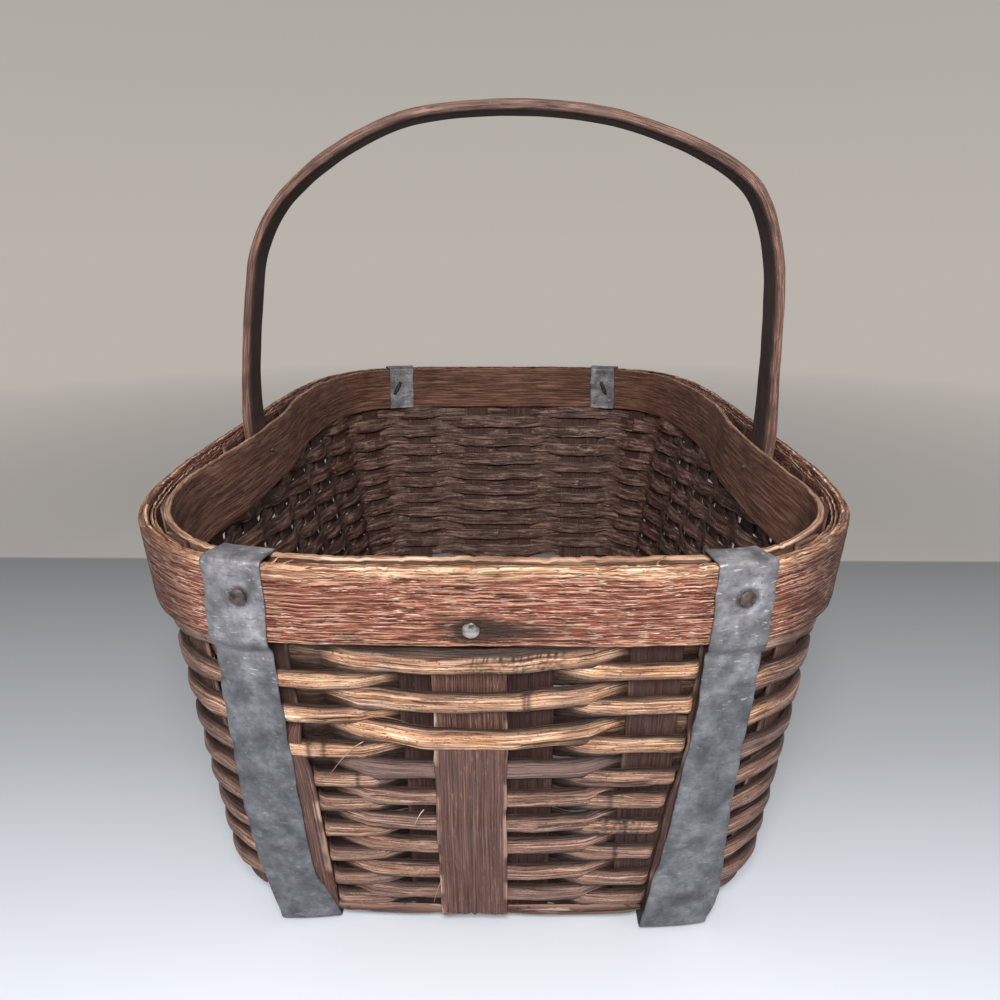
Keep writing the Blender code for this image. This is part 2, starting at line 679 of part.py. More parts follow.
# A nail turned about its axis; it stands on the outer face of what it holds, and
# each piece that it passes gets a hole a clearance wider than the shank
def add_nail(name, side, place, drop, cover, length, held):
    mesh = bpy.data.meshes.new(name)
    dome = [math.radians(angle) for angle in DOME_ANGLES]
    profile = [(HEAD_RADIUS * math.cos(angle), HEAD_RIM + (HEAD_RISE - HEAD_RIM) * math.sin(angle)) for angle in dome]
    profile += [(HEAD_RADIUS, 0.0), (SHANK_RADIUS, 0.0), (SHANK_RADIUS, NAIL_POINT - length), (0.0, -length)]
    mesh.from_pydata([(across, 0.0, up) for across, up in profile],
                     [(index, index + 1) for index in range(len(profile) - 1)], [])
    nail = add_part(name, mesh, nail_steel)
    turned = nail.modifiers.new("turn", "SCREW")
    turned.steps = NAIL_SIDES
    turned.render_steps = NAIL_SIDES
    turned.use_merge_vertices = True
    turned.merge_threshold = 0.00001
    height = RIM_HEIGHT - drop
    normal = wall_normal(height, side, place)
    nail.location = wall_point(height, side, place, -cover) + normal * GAP
    nail.rotation_euler = normal.to_track_quat("Z", "Y").to_euler()

    drill = bmesh.new()
    bmesh.ops.create_cone(drill, cap_ends=True, segments=NAIL_SIDES, radius1=SHANK_RADIUS + GAP,
                          radius2=SHANK_RADIUS + GAP, depth=length + 2 * NAIL_POINT)
    hole = bpy.data.meshes.new(name + "_hole")
    drill.to_mesh(hole)
    drill.free()
    cutter = add_guide(name + "_hole", hole)
    cutter.location = nail.location - normal * length / 2
    cutter.rotation_euler = nail.rotation_euler
    for part in held:
        cut = part.modifiers.new(name, "BOOLEAN")
        cut.operation = "DIFFERENCE"
        cut.object = cutter


bands = [outer_band, middle_strip, inner_band]
strap_cover = GAP + STRAP_THICKNESS
strap_nail_length = INNER_FACE_INSET + 2 * strap_cover + GAP + NAIL_POINT
for name, strap, side, place in (
    ("front_left", strap_left, FRONT, LEFT_STRAP_RIM_X),
    ("back_left", strap_left, BACK, LEFT_STRAP_BACK_X),
    ("front_right", strap_right, FRONT, RIGHT_STRAP_RIM_X),
    ("back_right", strap_right, BACK, RIGHT_STRAP_RIM_X),
):
    add_nail(f"nail_strap_{name}", side, place, STRAP_NAIL_DROP, strap_cover, strap_nail_length, [strap, *bands])

add_nail("nail_rim_front", FRONT, RIM_NAIL_X, RIM_NAIL_DROP, 0.0, INNER_FACE_INSET + GAP + NAIL_POINT, bands)

leg_nail_length = INNER_FACE_INSET + LEG_BULGE + GAP + NAIL_POINT
for name, side in (("left", LEFT), ("right", RIGHT)):
    place = leg_place(side)
    reach = SHANK_RADIUS + GAP
    crossed = [part for part, (low, high) in zip(cross_uprights, side_groups) if low - reach < place < high + reach]
    add_nail(f"nail_handle_{name}", side, place, LEG_NAIL_DROP, 0.0, leg_nail_length, [*bands, handle, *crossed])
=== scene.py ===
import math

import bpy
import numpy as np
from mathutils import Matrix, Vector, noise


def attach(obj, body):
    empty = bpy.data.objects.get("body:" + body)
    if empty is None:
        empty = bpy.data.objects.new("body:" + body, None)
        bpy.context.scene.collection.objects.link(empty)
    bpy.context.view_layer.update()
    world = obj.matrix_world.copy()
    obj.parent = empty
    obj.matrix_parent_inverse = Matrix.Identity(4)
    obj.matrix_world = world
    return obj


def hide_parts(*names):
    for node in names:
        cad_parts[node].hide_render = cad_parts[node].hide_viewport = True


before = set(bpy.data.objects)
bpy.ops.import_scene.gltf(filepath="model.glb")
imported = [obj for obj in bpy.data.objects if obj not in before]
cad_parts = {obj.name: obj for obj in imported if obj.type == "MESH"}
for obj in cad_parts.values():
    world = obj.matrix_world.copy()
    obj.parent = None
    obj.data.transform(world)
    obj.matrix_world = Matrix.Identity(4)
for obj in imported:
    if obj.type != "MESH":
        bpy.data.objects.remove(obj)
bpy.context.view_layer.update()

# The basket's wall: a rounded rectangle that narrows towards the ground (metres)
wall = {
    "rimHalfWidth": 0.190, "rimHalfLength": 0.2745, "rimHeight": 0.218,
    "rimSquareness": 4.3, "baseSquareness": 6.5, "sideLean": 0.032, "endLean": 0.025,
    "bandFoot": 0.177, "air": 0.0003, "sagFrom": 0.150, "sagAtFoot": 0.0012, "sagAtTop": 0.0032,
    "sagFull": 0.120, "sagEnd": 0.175,
}
frontSide, rightSide, backSide, leftSide = range(4)
runSign = {frontSide: 1, rightSide: 1, backSide: -1, leftSide: -1}
inward = {frontSide: (0, 1, 0), rightSide: (-1, 0, 0), backSide: (0, -1, 0), leftSide: (1, 0, 0)}
outlines = {}


def unit(vectors):
    return vectors / np.linalg.norm(vectors, axis=-1)[..., None]


def lengthsAlong(points):
    return np.r_[0.0, np.cumsum(np.linalg.norm(np.diff(points, axis=0), axis=1))]


def outlineAt(height):  # running length, points and outward directions
    key = round(float(height), 5)
    if key not in outlines:
        share = key / wall["rimHeight"]
        halfWidth = wall["rimHalfWidth"] - wall["sideLean"] * (1 - share)
        halfLength = wall["rimHalfLength"] - wall["endLean"] * (1 - share)
        power = wall["baseSquareness"] + (wall["rimSquareness"] - wall["baseSquareness"]) * share
        turn = np.linspace(-math.pi / 2, 1.5 * math.pi, 2881)
        across, along = np.cos(turn), np.sin(turn)
        reach = (abs(across / halfWidth) ** power + abs(along / halfLength) ** power) ** (-1 / power)
        points = np.c_[reach * across, reach * along]
        steep = np.c_[np.sign(across) * abs(points[:, 0] / halfWidth) ** (power - 1) / halfWidth,
                      np.sign(along) * abs(points[:, 1] / halfLength) ** (power - 1) / halfLength]
        outlines[key] = (lengthsAlong(points), points, unit(steep))
    return outlines[key]


def quarterAt(height):
    return outlineAt(height)[0][-1] / 4


def facingAt(height, run):
    lengths, points, outward = outlineAt(height)
    run = np.mod(run, lengths[-1])
    return unit(np.stack([np.interp(run, lengths, outward[:, axis]) for axis in (0, 1)], -1))


def ringPoints(height, run, inset):  # points along the outline, that far inside its face
    lengths, points, outward = outlineAt(height)
    run = np.atleast_1d(run)
    folded = np.mod(run, lengths[-1])
    place = np.stack([np.interp(folded, lengths, points[:, axis]) for axis in (0, 1)], -1)
    place = place - facingAt(height, run) * np.broadcast_to(inset, run.shape)[:, None]
    return np.c_[place, np.full(len(run), float(height))]


def wallPoints(height, side, places, inset):
    return ringPoints(height, side * quarterAt(height) + runSign[side] * np.atleast_1d(places), inset)


def drift(run, seed, wavelength):  # a slow wander between about -1 and 1
    chance = np.random.default_rng(seed)
    finer, weaker = 0.57, 0.62  # each octave beside the one before it
    total = np.zeros(np.shape(run))
    for octave in range(4):
        turn = 2 * math.pi / (wavelength * finer ** octave) * chance.uniform(0.8, 1.25)
        total = total + np.sin(np.asarray(run) * turn + chance.uniform(0, 6.28)) * weaker ** octave
    return total / 1.9


def lumps(u, v, seed, sizeU, sizeV):  # the same over a surface
    flatU, flatV = np.broadcast_arrays(u, v)
    places = zip(flatU.ravel(), flatV.ravel())
    values = [noise.noise(Vector((a / sizeU, b / sizeV, seed * 7.31))) for a, b in places]
    return np.array(values).reshape(flatU.shape)


def ease(value, low, high):  # 0 below low, 1 above high
    share = np.clip((np.asarray(value) - low) / (high - low), 0, 1)
    return share * share * (3 - 2 * share)


def bell(value, middle, reach):
    return np.exp(-((np.asarray(value) - middle) / reach) ** 2)


def frontSag(near, height):  # the front of the rim has settled a little between its corners
    heights = (wall["sagFrom"], wall["bandFoot"], wall["rimHeight"])
    sag = np.interp(height, heights, (0.0, wall["sagAtFoot"], wall["sagAtTop"]))
    return ease(-abs(near), -wall["sagEnd"], -wall["sagFull"]) * sag


# Laying a piece: a flat grid from Blender, each of its rows set round the piece's
# section, the seam merged and the ends closed
def layPiece(name, rings, lengths, spans, wearAndPaintedLight=None, closed=False, sharp=50):
    rows = np.concatenate([rings, rings[:, :1]], axis=1)
    spans = np.r_[spans, spans[-1] + (spans[-1] - spans[-2])]
    if wearAndPaintedLight is not None:
        wearAndPaintedLight = np.concatenate([wearAndPaintedLight, wearAndPaintedLight[:, :1]], axis=1)
    if closed:
        rows = np.concatenate([rows, rows[:1]])
        lengths = np.r_[lengths, lengths[-1] + (lengths[-1] - lengths[-2])]
        wearAndPaintedLight = None if wearAndPaintedLight is None else np.concatenate([wearAndPaintedLight, wearAndPaintedLight[:1]])
    else:
        firstEnd = np.broadcast_to(rings[0].mean(0), rows[:1].shape)
        lastEnd = np.broadcast_to(rings[-1].mean(0), rows[:1].shape)
        rows = np.concatenate([firstEnd, rows, lastEnd])
        lengths = np.r_[lengths[0] - 0.001, lengths, lengths[-1] + 0.001]
        wearAndPaintedLight = None if wearAndPaintedLight is None else np.concatenate([wearAndPaintedLight[:1], wearAndPaintedLight, wearAndPaintedLight[-1:]])
    rowCount, columnCount = rows.shape[0] - 1, rows.shape[1] - 1
    bpy.ops.object.select_all(action="DESELECT")
    bpy.ops.mesh.primitive_grid_add(x_subdivisions=rowCount, y_subdivisions=columnCount, size=2)
    piece = bpy.context.object
    piece.name = piece.data.name = name
    mesh = piece.data
    flat = np.empty(len(mesh.vertices) * 3, np.float32)
    mesh.vertices.foreach_get("co", flat)
    flat = flat.reshape(-1, 3)
    row = np.rint((flat[:, 0] + 1) / 2 * rowCount).astype(int)
    column = np.rint((flat[:, 1] + 1) / 2 * columnCount).astype(int)
    mesh.vertices.foreach_set("co", rows[row, column].astype(np.float32).ravel())
    corner = np.empty(len(mesh.loops), np.int32)
    mesh.loops.foreach_get("vertex_index", corner)
    surface = np.c_[lengths[row[corner]], spans[column[corner]]]
    mesh.uv_layers[0].data.foreach_set("uv", surface.astype(np.float32).ravel())
    if wearAndPaintedLight is not None:
        mesh.color_attributes.new("wearAndPaintedLight", "FLOAT_COLOR", "POINT")
        worn = np.clip(wearAndPaintedLight[row, column], 0, 1).astype(np.float32)
        mesh.color_attributes["wearAndPaintedLight"].data.foreach_set("color", worn.ravel())
    bpy.ops.object.mode_set(mode="EDIT")
    bpy.ops.mesh.select_all(action="SELECT")
    bpy.ops.mesh.remove_doubles(threshold=0.000002)
    bpy.ops.mesh.normals_make_consistent(inside=False)
    bpy.ops.object.mode_set(mode="OBJECT")
    bpy.ops.object.shade_smooth_by_angle(angle=math.radians(sharp))
    return piece


def settle(piece, finish, node=None):
    piece.data.materials.clear()
    piece.data.materials.append(finish)
    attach(piece, "root")
    if node:
        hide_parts(node)


def acrossPlaces(width, steps, rounding):  # closer together at the rounded edges
    edge = rounding * np.array([0.0, 0.12, 0.35, 0.68, 1.0])
    middle = np.linspace(rounding, width - rounding, steps + 1)[1:-1]
    return np.r_[edge, middle, width - edge[::-1]] - width / 2


def edgeFall(offsets, width, rounding):  # 1 over the flat, less at the rounded edges
    depth = np.clip((width / 2 - abs(offsets)) / rounding, 0, 1)
    return 0.3 + 0.7 * np.sqrt(np.clip(1 - (1 - depth) ** 2, 0, 1))


def surfaceNormals(grid, closed=False):
    if closed:
        along = np.roll(grid, -1, 0) - np.roll(grid, 1, 0)
    else:
        along = np.gradient(grid, axis=0)
    return unit(np.cross(along, np.gradient(grid, axis=1)))


# From a middle surface to the ring of points round the section, outer face first
def thicken(grid, normals, halfOut, halfIn):
    outer = grid + normals * halfOut[..., None]
    inner = grid - normals * halfIn[..., None]
    return np.concatenate([outer, inner[:, ::-1]], axis=1)


def noWear(rings):  # per point: bleaching with painted highlights, dirt with painted shade, grey, and a spare
    return np.zeros(rings.shape[:2] + (4,))


def footBend(rows, corner, side, reach, steps):  # from the foot of a wall on to the floor
    inner = corner + np.array(inward[side]) * reach
    turn = np.linspace(0, 1, steps)[1:, None, None]
    bend = rows[-1] * (1 - turn) ** 2 + corner * 2 * turn * (1 - turn) + inner * turn * turn
    return np.concatenate([rows, bend])


def floorRun(first, last, steps):  # under the floor, from one bend to the other
    share = np.linspace(0, 1, steps)[1:-1, None, None]
    return first[-1][None] * (1 - share) + last[-1][None] * share


def thinStrip(points, lean, sides, half, flatness):  # an oval section along points on the wall
    along = unit(np.gradient(points, axis=0))
    across = unit(np.cross(along, (0.0, 1.0, lean)))
    out = np.cross(across, along)
    turn = np.linspace(0, 2 * math.pi, sides, endpoint=False)[None, :, None]
    rings = points[:, None] + across[:, None] * np.cos(turn) * half
    return rings + out[:, None] * np.sin(turn) * half * flatness


# Materials. Colours are written as sRGB hex, and turned to linear here
def tint(code):
    parts = [int(code[place:place + 2], 16) / 255 for place in (0, 2, 4)]
    linear = [part / 12.92 if part <= 0.04045 else ((part + 0.055) / 1.055) ** 2.4 for part in parts]
    return tuple(linear) + (1.0,)


def addNode(tree, kind, inputs, output=0, ramp=(), **settings):
    made = tree.nodes.new("ShaderNode" + kind)
    for name, value in settings.items():
        setattr(made, name, value)
    for name, value in inputs.items():
        if isinstance(value, bpy.types.NodeSocket):
            tree.links.new(value, made.inputs[name])
        else:
            made.inputs[name].default_value = tint(value) if isinstance(value, str) else value
    while ramp and len(made.color_ramp.elements) < len(ramp):
        made.color_ramp.elements.new(0.5)
    for stop, (place, color) in enumerate(ramp):
        element = made.color_ramp.elements[stop]
        element.position = place
        element.color = tint(color) if isinstance(color, str) else (color, color, color, 1.0)
    return made.outputs[output]


def newMaterial(name):
    material = bpy.data.materials.new(name)
    material.use_nodes = True
    shader = material.node_tree.nodes["Principled BSDF"]
    shader.inputs["IOR"].default_value = 1.5
    return material, material.node_tree, shader


def fibres(tree, place, alongMm, acrossMm, detail, shift):  # a pattern drawn out along the grain
    laid = addNode(tree, "Mapping", {"Vector": place, "Location": (shift, shift, shift),
                                     "Scale": (1000 / alongMm, 1000 / acrossMm, 1.0)})
    return addNode(tree, "TexNoise", {"Vector": laid, "Scale": 1.0, "Detail": detail, "Roughness": 0.62})


# Old split wood. The grain runs along U, which is metres along the piece, and V is
# metres across it. The attribute per point holds bleaching with painted highlights, dirt with painted shade,
# and greying. Lengths in mm
oldWood = {
    "swayLong": 44, "swayWide": 14, "swayMm": 0.5, "tornRelief": 0.15, "roughLow": 0.6, "roughHigh": 0.85,
    "grey": "6a544c", "greyShare": 0.75, "shade": 0.1, "dirtAndShade": "2c1c16", "dirtAndShadeShare": 0.92,
}


def splitWood(name, changes):
    look = {**oldWood, **changes}
    material, tree, shader = newMaterial(name)
    surface = addNode(tree, "UVMap", {}, uv_map="UVMap")
    worn = addNode(tree, "Attribute", {}, attribute_name="wearAndPaintedLight")
    bleachAndHighlight, dirtAndShade, grey = addNode(tree, "SeparateColor", {0: worn}).node.outputs[0:3]
    sway = look["swayMm"] / 500
    swayed = fibres(tree, surface, look["swayLong"], look["swayWide"], 2.0, 4.1)  # the grain isn't straight
    swayed = addNode(tree, "MapRange", {"Value": swayed, "To Min": -sway, "To Max": sway})
    swayed = addNode(tree, "CombineXYZ", {"Y": swayed})
    place = addNode(tree, "VectorMath", {0: surface, 1: swayed}, operation="ADD")
    long, wide = look["grainLong"], look["grainWide"]
    grain = fibres(tree, place, long, wide, 5.0, 0.0)  # growth rings, cut lengthwise
    fine = fibres(tree, place, long * 0.5, wide * 0.4, 3.0, 6.6)
    torn = fibres(tree, place, look["tornLong"], look["tornWide"], 3.0, 1.9)  # raised fibres, pale: dry wood with a painted highlight
    line = fibres(tree, place, long * 2.2, wide * 1.3, 2.0, 9.1)  # checks, long and dark
    speck = fibres(tree, surface, look["speckLong"], look["speckWide"], 2.0, 2.7)
    patch = fibres(tree, surface, look["patch"], look["patch"] * 0.5, 3.0, 5.3)
    color = addNode(tree, "ValToRGB", {0: grain}, ramp=tuple(zip(look["stops"], look["colors"])))
    fair = addNode(tree, "ValToRGB", {0: grain}, ramp=tuple(zip(look["stops"], look["bleached"])))
    # paler where bleached, and where a highlight is painted
    color = addNode(tree, "Mix", {0: bleachAndHighlight, 6: color, 7: fair}, 2, data_type="RGBA")
    multiply = {"data_type": "RGBA", "blend_type": "MULTIPLY"}
    for pattern, low, high, change in ((patch, 0.32, 0.68, look["patchy"]), (fine, 0.35, 0.65, look["fine"])):
        factor = addNode(tree, "MapRange", {"Value": pattern, "From Min": low, "From Max": high,
                                            "To Min": 1 - change, "To Max": 1 + change})
        color = addNode(tree, "Mix", {0: 1.0, 6: color, 7: factor}, 2, **multiply)
    start = look["tornFrom"]
    raised = addNode(tree, "ValToRGB", {0: torn}, ramp=((start, 0.0), (start + 0.05, 1.0)))
    places = addNode(tree, "ValToRGB", {0: patch}, ramp=((0.38, 0.15), (0.56, 1.0)))
    raised = addNode(tree, "Math", {0: raised, 1: places}, operation="MULTIPLY")
    thin = ((0.484, 0.0), (0.495, 1.0), (0.506, 1.0), (0.517, 0.0))
    check = addNode(tree, "ValToRGB", {0: line}, ramp=thin)
    speck = addNode(tree, "ValToRGB", {0: speck}, ramp=((0.60, 0.0), (0.67, 1.0)))
    for layer, strength, paint in (
            (raised, look["tornShare"], look["tornColor"]), (check, look["checkShare"], look["checkColor"]),
            (speck, look["speckShare"], look["checkColor"]), (grey, look["greyShare"], look["grey"])):
        share = addNode(tree, "Math", {0: layer, 1: strength}, operation="MULTIPLY")
        color = addNode(tree, "Mix", {0: share, 6: color, 7: paint}, 2, data_type="RGBA")
    shade = addNode(tree, "MapRange", {"Value": grey, "To Min": 1.0, "To Max": 1 - look["shade"]})
    color = addNode(tree, "Mix", {0: 1.0, 6: color, 7: shade}, 2, **multiply)
    # darker towards the dirt colour: dirt, and the painted shade carried in the same channel
    share = addNode(tree, "Math", {0: dirtAndShade, 1: look["dirtAndShadeShare"]}, operation="MULTIPLY")
    color = addNode(tree, "Mix", {0: share, 6: color, 7: look["dirtAndShade"]}, 2, data_type="RGBA")
    tree.links.new(color, shader.inputs["Base Color"])
    rough = addNode(tree, "MapRange", {"Value": grain, "To Min": look["roughLow"],
                                       "To Max": look["roughHigh"]})
    tree.links.new(rough, shader.inputs["Roughness"])
    shader.inputs["Specular IOR Level"].default_value = look["gloss"]
    relief = grain
    for layer, height in ((fine, 0.35), (raised, look["tornRelief"]), (check, -0.5)):
        relief = addNode(tree, "Math", {0: layer, 1: height, 2: relief}, operation="MULTIPLY_ADD")
    bump = addNode(tree, "Bump", {"Height": relief, "Strength": 1.0, "Distance": look["reliefMm"] / 1000})
    tree.links.new(bump, shader.inputs["Normal"])
    return material


# Split oak rim: torn across the growth rings, so it catches the light in short fibres
rimOak = splitWood("weatheredSplitOak", {
    "grainLong": 26, "grainWide": 1.0, "patch": 26, "patchy": 0.2, "fine": 0.22, "tornLong": 7,
    "tornWide": 0.72, "tornFrom": 0.548, "tornShare": 0.95, "tornRelief": 0.6, "tornColor": "fbd6bc",
    "checkShare": 0.8, "checkColor": "351509", "speckLong": 3.5, "speckWide": 0.6, "speckShare": 0.55,
    "gloss": 0.3, "reliefMm": 1.1, "greyShare": 0.25, "shade": 0.5, "stops": (0.40, 0.47, 0.53, 0.61),
    "colors": ("42190f", "7a3d2a", "a2604a", "e0aa8b"), "bleached": ("784830", "b98362", "dcab84", "f6d3ae")})
# The inner band shows its smooth side: brown, quiet and dull
innerOak = splitWood("smoothSplitOak", {
    "grainLong": 40, "grainWide": 1.6, "patch": 30, "patchy": 0.22, "fine": 0.08, "tornLong": 9,
    "tornWide": 0.8, "tornFrom": 0.60, "tornShare": 0.4, "tornRelief": 0.2, "tornColor": "c79f88",
    "checkShare": 0.45, "checkColor": "2a130b", "speckLong": 4, "speckWide": 0.8, "speckShare": 0.3,
    "gloss": 0.25, "reliefMm": 0.5, "stops": (0.38, 0.47, 0.55, 0.64),
    "colors": ("5c3a2c", "77503f", "8c6350", "a97f6b"), "bleached": ("8a6450", "b38a70", "d0a98a", "ecd0b4")})
# Bentwood handle: worn by hands, so the relief is low and it shines a little more
handleAsh = splitWood("handWornBentAsh", {
    "grainLong": 30, "grainWide": 1.0, "swayLong": 50, "swayWide": 20, "swayMm": 0.25, "patch": 24,
    "patchy": 0.2, "fine": 0.16, "tornLong": 9, "tornWide": 0.9, "tornFrom": 0.585, "tornShare": 0.45,
    "tornColor": "c39d88", "checkShare": 0.45, "checkColor": "2b150e", "speckLong": 3.5, "speckWide": 0.8,
    "speckShare": 0.4, "roughLow": 0.5, "roughHigh": 0.72, "gloss": 0.35, "reliefMm": 0.4,
    "grey": "74625a", "shade": 0.05, "dirtAndShade": "2e1f1a", "stops": (0.37, 0.46, 0.55, 0.64),
    "colors": ("4d3026", "6a493b", "7f5c4e", "a07c6c"), "bleached": ("8a6757", "b08d7a", "cdae9a", "e6cbb6")})
# Flat splints: dry and dull, with fine straight grain
splintAsh = splitWood("drySplitAsh", {
    "grainLong": 60, "grainWide": 0.9, "swayLong": 80, "swayWide": 30, "swayMm": 0.2, "patch": 22,
    "patchy": 0.14, "fine": 0.13, "tornLong": 8, "tornWide": 0.6, "tornFrom": 0.60, "tornShare": 0.45,
    "tornColor": "c39f8e", "checkShare": 0.42, "checkColor": "2c1710", "speckLong": 5, "speckWide": 0.7,
    "speckShare": 0.25, "roughLow": 0.7, "roughHigh": 0.9, "gloss": 0.2, "reliefMm": 0.35,
    "grey": "6a5c5a", "shade": 0.12, "dirtAndShade": "261613", "stops": (0.36, 0.46, 0.56, 0.66),
    "colors": ("452c24", "5d3f36", "6d4e44", "8c6b5e"), "bleached": ("9a7662", "bb967f", "d6b79f", "ecd3be")})
# Half-round willow rods: smoother skin with bark specks, straw where the sun has bleached it
willow = splitWood("splitWillow", {
    "grainLong": 34, "grainWide": 1.0, "swayLong": 30, "swayWide": 9, "swayMm": 0.25, "patch": 17,
    "patchy": 0.26, "fine": 0.2, "tornLong": 8, "tornWide": 0.7, "tornFrom": 0.59, "tornShare": 0.6,
    "tornRelief": 0.2, "tornColor": "f6d6bd", "checkShare": 0.85, "checkColor": "2b1209", "speckLong": 1.7,
    "speckWide": 0.9, "speckShare": 0.75, "roughLow": 0.48, "roughHigh": 0.74, "gloss": 0.4,
    "reliefMm": 0.75, "grey": "75605a", "dirtAndShade": "1f110c", "stops": (0.37, 0.45, 0.55, 0.64),
    "colors": ("40201a", "745045", "94705f", "cba593"), "bleached": ("7a4527", "c08a62", "dfae87", "fbdfc4")})


# Galvanised sheet: dull zinc, scuffed and mottled on the rim, smoother and darker below
def galvanisedSheet():
    material, tree, shader = newMaterial("galvanisedSheet")
    place = addNode(tree, "TexCoord", {}).node.outputs["Object"]
    worn = addNode(tree, "Attribute", {}, attribute_name="wearAndPaintedLight")
    upper, grimeAndShade, scuffs = addNode(tree, "SeparateColor", {0: worn}).node.outputs[0:3]
    cloud = addNode(tree, "TexNoise", {"Vector": place, "Scale": 1000 / 13, "Detail": 7.0, "Roughness": 0.62})
    mottle = addNode(tree, "TexNoise", {"Vector": place, "Scale": 1000 / 2.4, "Detail": 3.0,
                                        "Roughness": 0.6})
    laid = addNode(tree, "Mapping", {"Vector": place, "Scale": (1000 / 4.5, 1000 / 3, 1000 / 1.5),
                                     "Rotation": (0, 0.5, 0)})
    scratch = addNode(tree, "TexNoise", {"Vector": laid, "Scale": 1.0, "Detail": 2.0, "Distortion": 0.6})
    low = addNode(tree, "ValToRGB", {0: cloud}, ramp=((0.36, "4b4d4f"), (0.5, "626467"), (0.66, "7e8083")))
    high = addNode(tree, "ValToRGB", {0: cloud}, ramp=((0.36, "626163"), (0.5, "828083"), (0.66, "a5a3a6")))
    color = addNode(tree, "Mix", {0: upper, 6: low, 7: high}, 2, data_type="RGBA")
    grainy = addNode(tree, "MapRange", {"Value": mottle, "From Min": 0.3, "From Max": 0.7,
                                        "To Min": 0.86, "To Max": 1.14})
    color = addNode(tree, "Mix", {0: 1.0, 6: color, 7: grainy}, 2, data_type="RGBA", blend_type="MULTIPLY")
    share = addNode(tree, "ValToRGB", {0: scratch}, ramp=((0.65, 0.0), (0.70, 0.6)))
    share = addNode(tree, "Math", {0: share, 1: scuffs}, operation="MULTIPLY")
    color = addNode(tree, "Mix", {0: share, 6: color, 7: "d2d1d3"}, 2, data_type="RGBA")
    share = addNode(tree, "ValToRGB", {0: scratch}, ramp=((0.33, 0.45), (0.38, 0.0)))
    color = addNode(tree, "Mix", {0: share, 6: color, 7: "4d4c4d"}, 2, data_type="RGBA")
    # darker towards grime: grime, and painted shade carried in the same channel
    color = addNode(tree, "Mix", {0: grimeAndShade, 6: color, 7: "383433"}, 2, data_type="RGBA")
    tree.links.new(color, shader.inputs["Base Color"])
    shader.inputs["Metallic"].default_value = 0.45
    rough = addNode(tree, "MapRange", {"Value": cloud, "To Min": 0.4, "To Max": 0.62})
    tree.links.new(rough, shader.inputs["Roughness"])
    relief = addNode(tree, "Math", {0: mottle, 1: 0.5, 2: cloud}, operation="MULTIPLY_ADD")
    bump = addNode(tree, "Bump", {"Height": relief, "Strength": 1.0, "Distance": 0.0007})
    tree.links.new(bump, shader.inputs["Normal"])
    return material


# Nail iron: browned by rust, or still bright on the newer nail in the rim
def nailIron(name, dark, light, metallic, roughness):
    material, tree, shader = newMaterial(name)
    place = addNode(tree, "TexCoord", {}).node.outputs["Object"]
    cloud = addNode(tree, "TexNoise", {"Vector": place, "Scale": 1000 / 3.5, "Detail": 3.0})
    color = addNode(tree, "ValToRGB", {0: cloud}, ramp=((0.38, dark), (0.62, light)))
    tree.links.new(color, shader.inputs["Base Color"])
    shader.inputs["Metallic"].default_value = metallic
    shader.inputs["Roughness"].default_value = roughness
    bump = addNode(tree, "Bump", {"Height": cloud, "Strength": 1.0, "Distance": 0.0003})
    tree.links.new(bump, shader.inputs["Normal"])
    return material


zinc = galvanisedSheet()
rustedIron = nailIron("rustedNailIron", "2e2422", "5e504b", 0.35, 0.6)
blackIron = nailIron("blackenedNailIron", "1b1513", "3b312d", 0.3, 0.65)
brightIron = nailIron("tarnishedNailIron", "4a443e", "a8a199", 0.65, 0.42)
print("materials made")

# Where the uprights stand, as their middle and width on each wall
uprights = {
    "inset": 0.010, "thickness": 0.0024, "width": 0.025, "top": 0.215, "floor": 0.00405, "lift": 0.00135,
    "bend": 0.008, "rounding": 0.0011, "crossPitch": 0.064, "crossCount": 7, "cornerWidth": 0.022,
    # the middle, the width and the floor column that each long one belongs to
    "long": ((-0.0915, 0.025, 0), (-0.029, 0.025, 1), (0.0171, 0.025, 2), (0.0755, 0.025, 3),
             (0.0965, 0.014, 3)),
    # where two of them come out over the rods, and their edges there as (heights), (places)
    "outInset": 0.0049, "outFrom": 0.128, "outTo": 0.118,
    "leftEdge": ((0.010, 0.101, 0.122, 0.140, 0.165), (-0.0805, -0.0862, -0.0900, -0.0915, -0.0925)),
    "rightEdge": ((0.029, 0.067, 0.086, 0.094, 0.124, 0.163),
                  (0.0795, 0.0828, 0.0850, 0.0872, 0.0925, 0.0948)),
}
bendTop = uprights["floor"] + uprights["bend"]
crossPlaces = [(index - 3) * uprights["crossPitch"] for index in range(uprights["crossCount"])]
sideGroups = [(place - uprights["width"] / 2, place + uprights["width"] / 2) for place in crossPlaces]
longEdges = [(place - width / 2, place + width / 2) for place, width, column in uprights["long"]]
endGroups = [longEdges[0], (longEdges[1][0], longEdges[2][1]), (longEdges[3][0], longEdges[4][1])]
floorColumns = longEdges[:3] + endGroups[2:]


def weaveGroups(height):  # the groups that a rod passes, all round from the front's left
    walls = []
    for side in range(4):
        groups = endGroups if side in (frontSide, backSide) else sideGroups
        if runSign[side] < 0:
            groups = [(-high, -low) for low, high in reversed(groups)]
        start = side * quarterAt(height)
        walls.append([(start + low, start + high) for low, high in groups])
    around = []
    for side, groups in enumerate(walls):
        around += groups
        following = walls[(side + 1) % 4][0][0] + (4 * quarterAt(height) if side == leftSide else 0.0)
        middle = (groups[-1][1] + following) / 2
        around.append((middle - uprights["cornerWidth"] / 2, middle + uprights["cornerWidth"] / 2))
    return around


def weaveSide(run, groups, signs, margin):  # 1 while outside a group, -1 while inside
    places, values = [], []
    for (low, high), sign in zip(groups, signs):
        places += [low - margin, high + margin]
        values += [sign, sign]
    return np.sin(np.interp(run, places, values) * math.pi / 2)


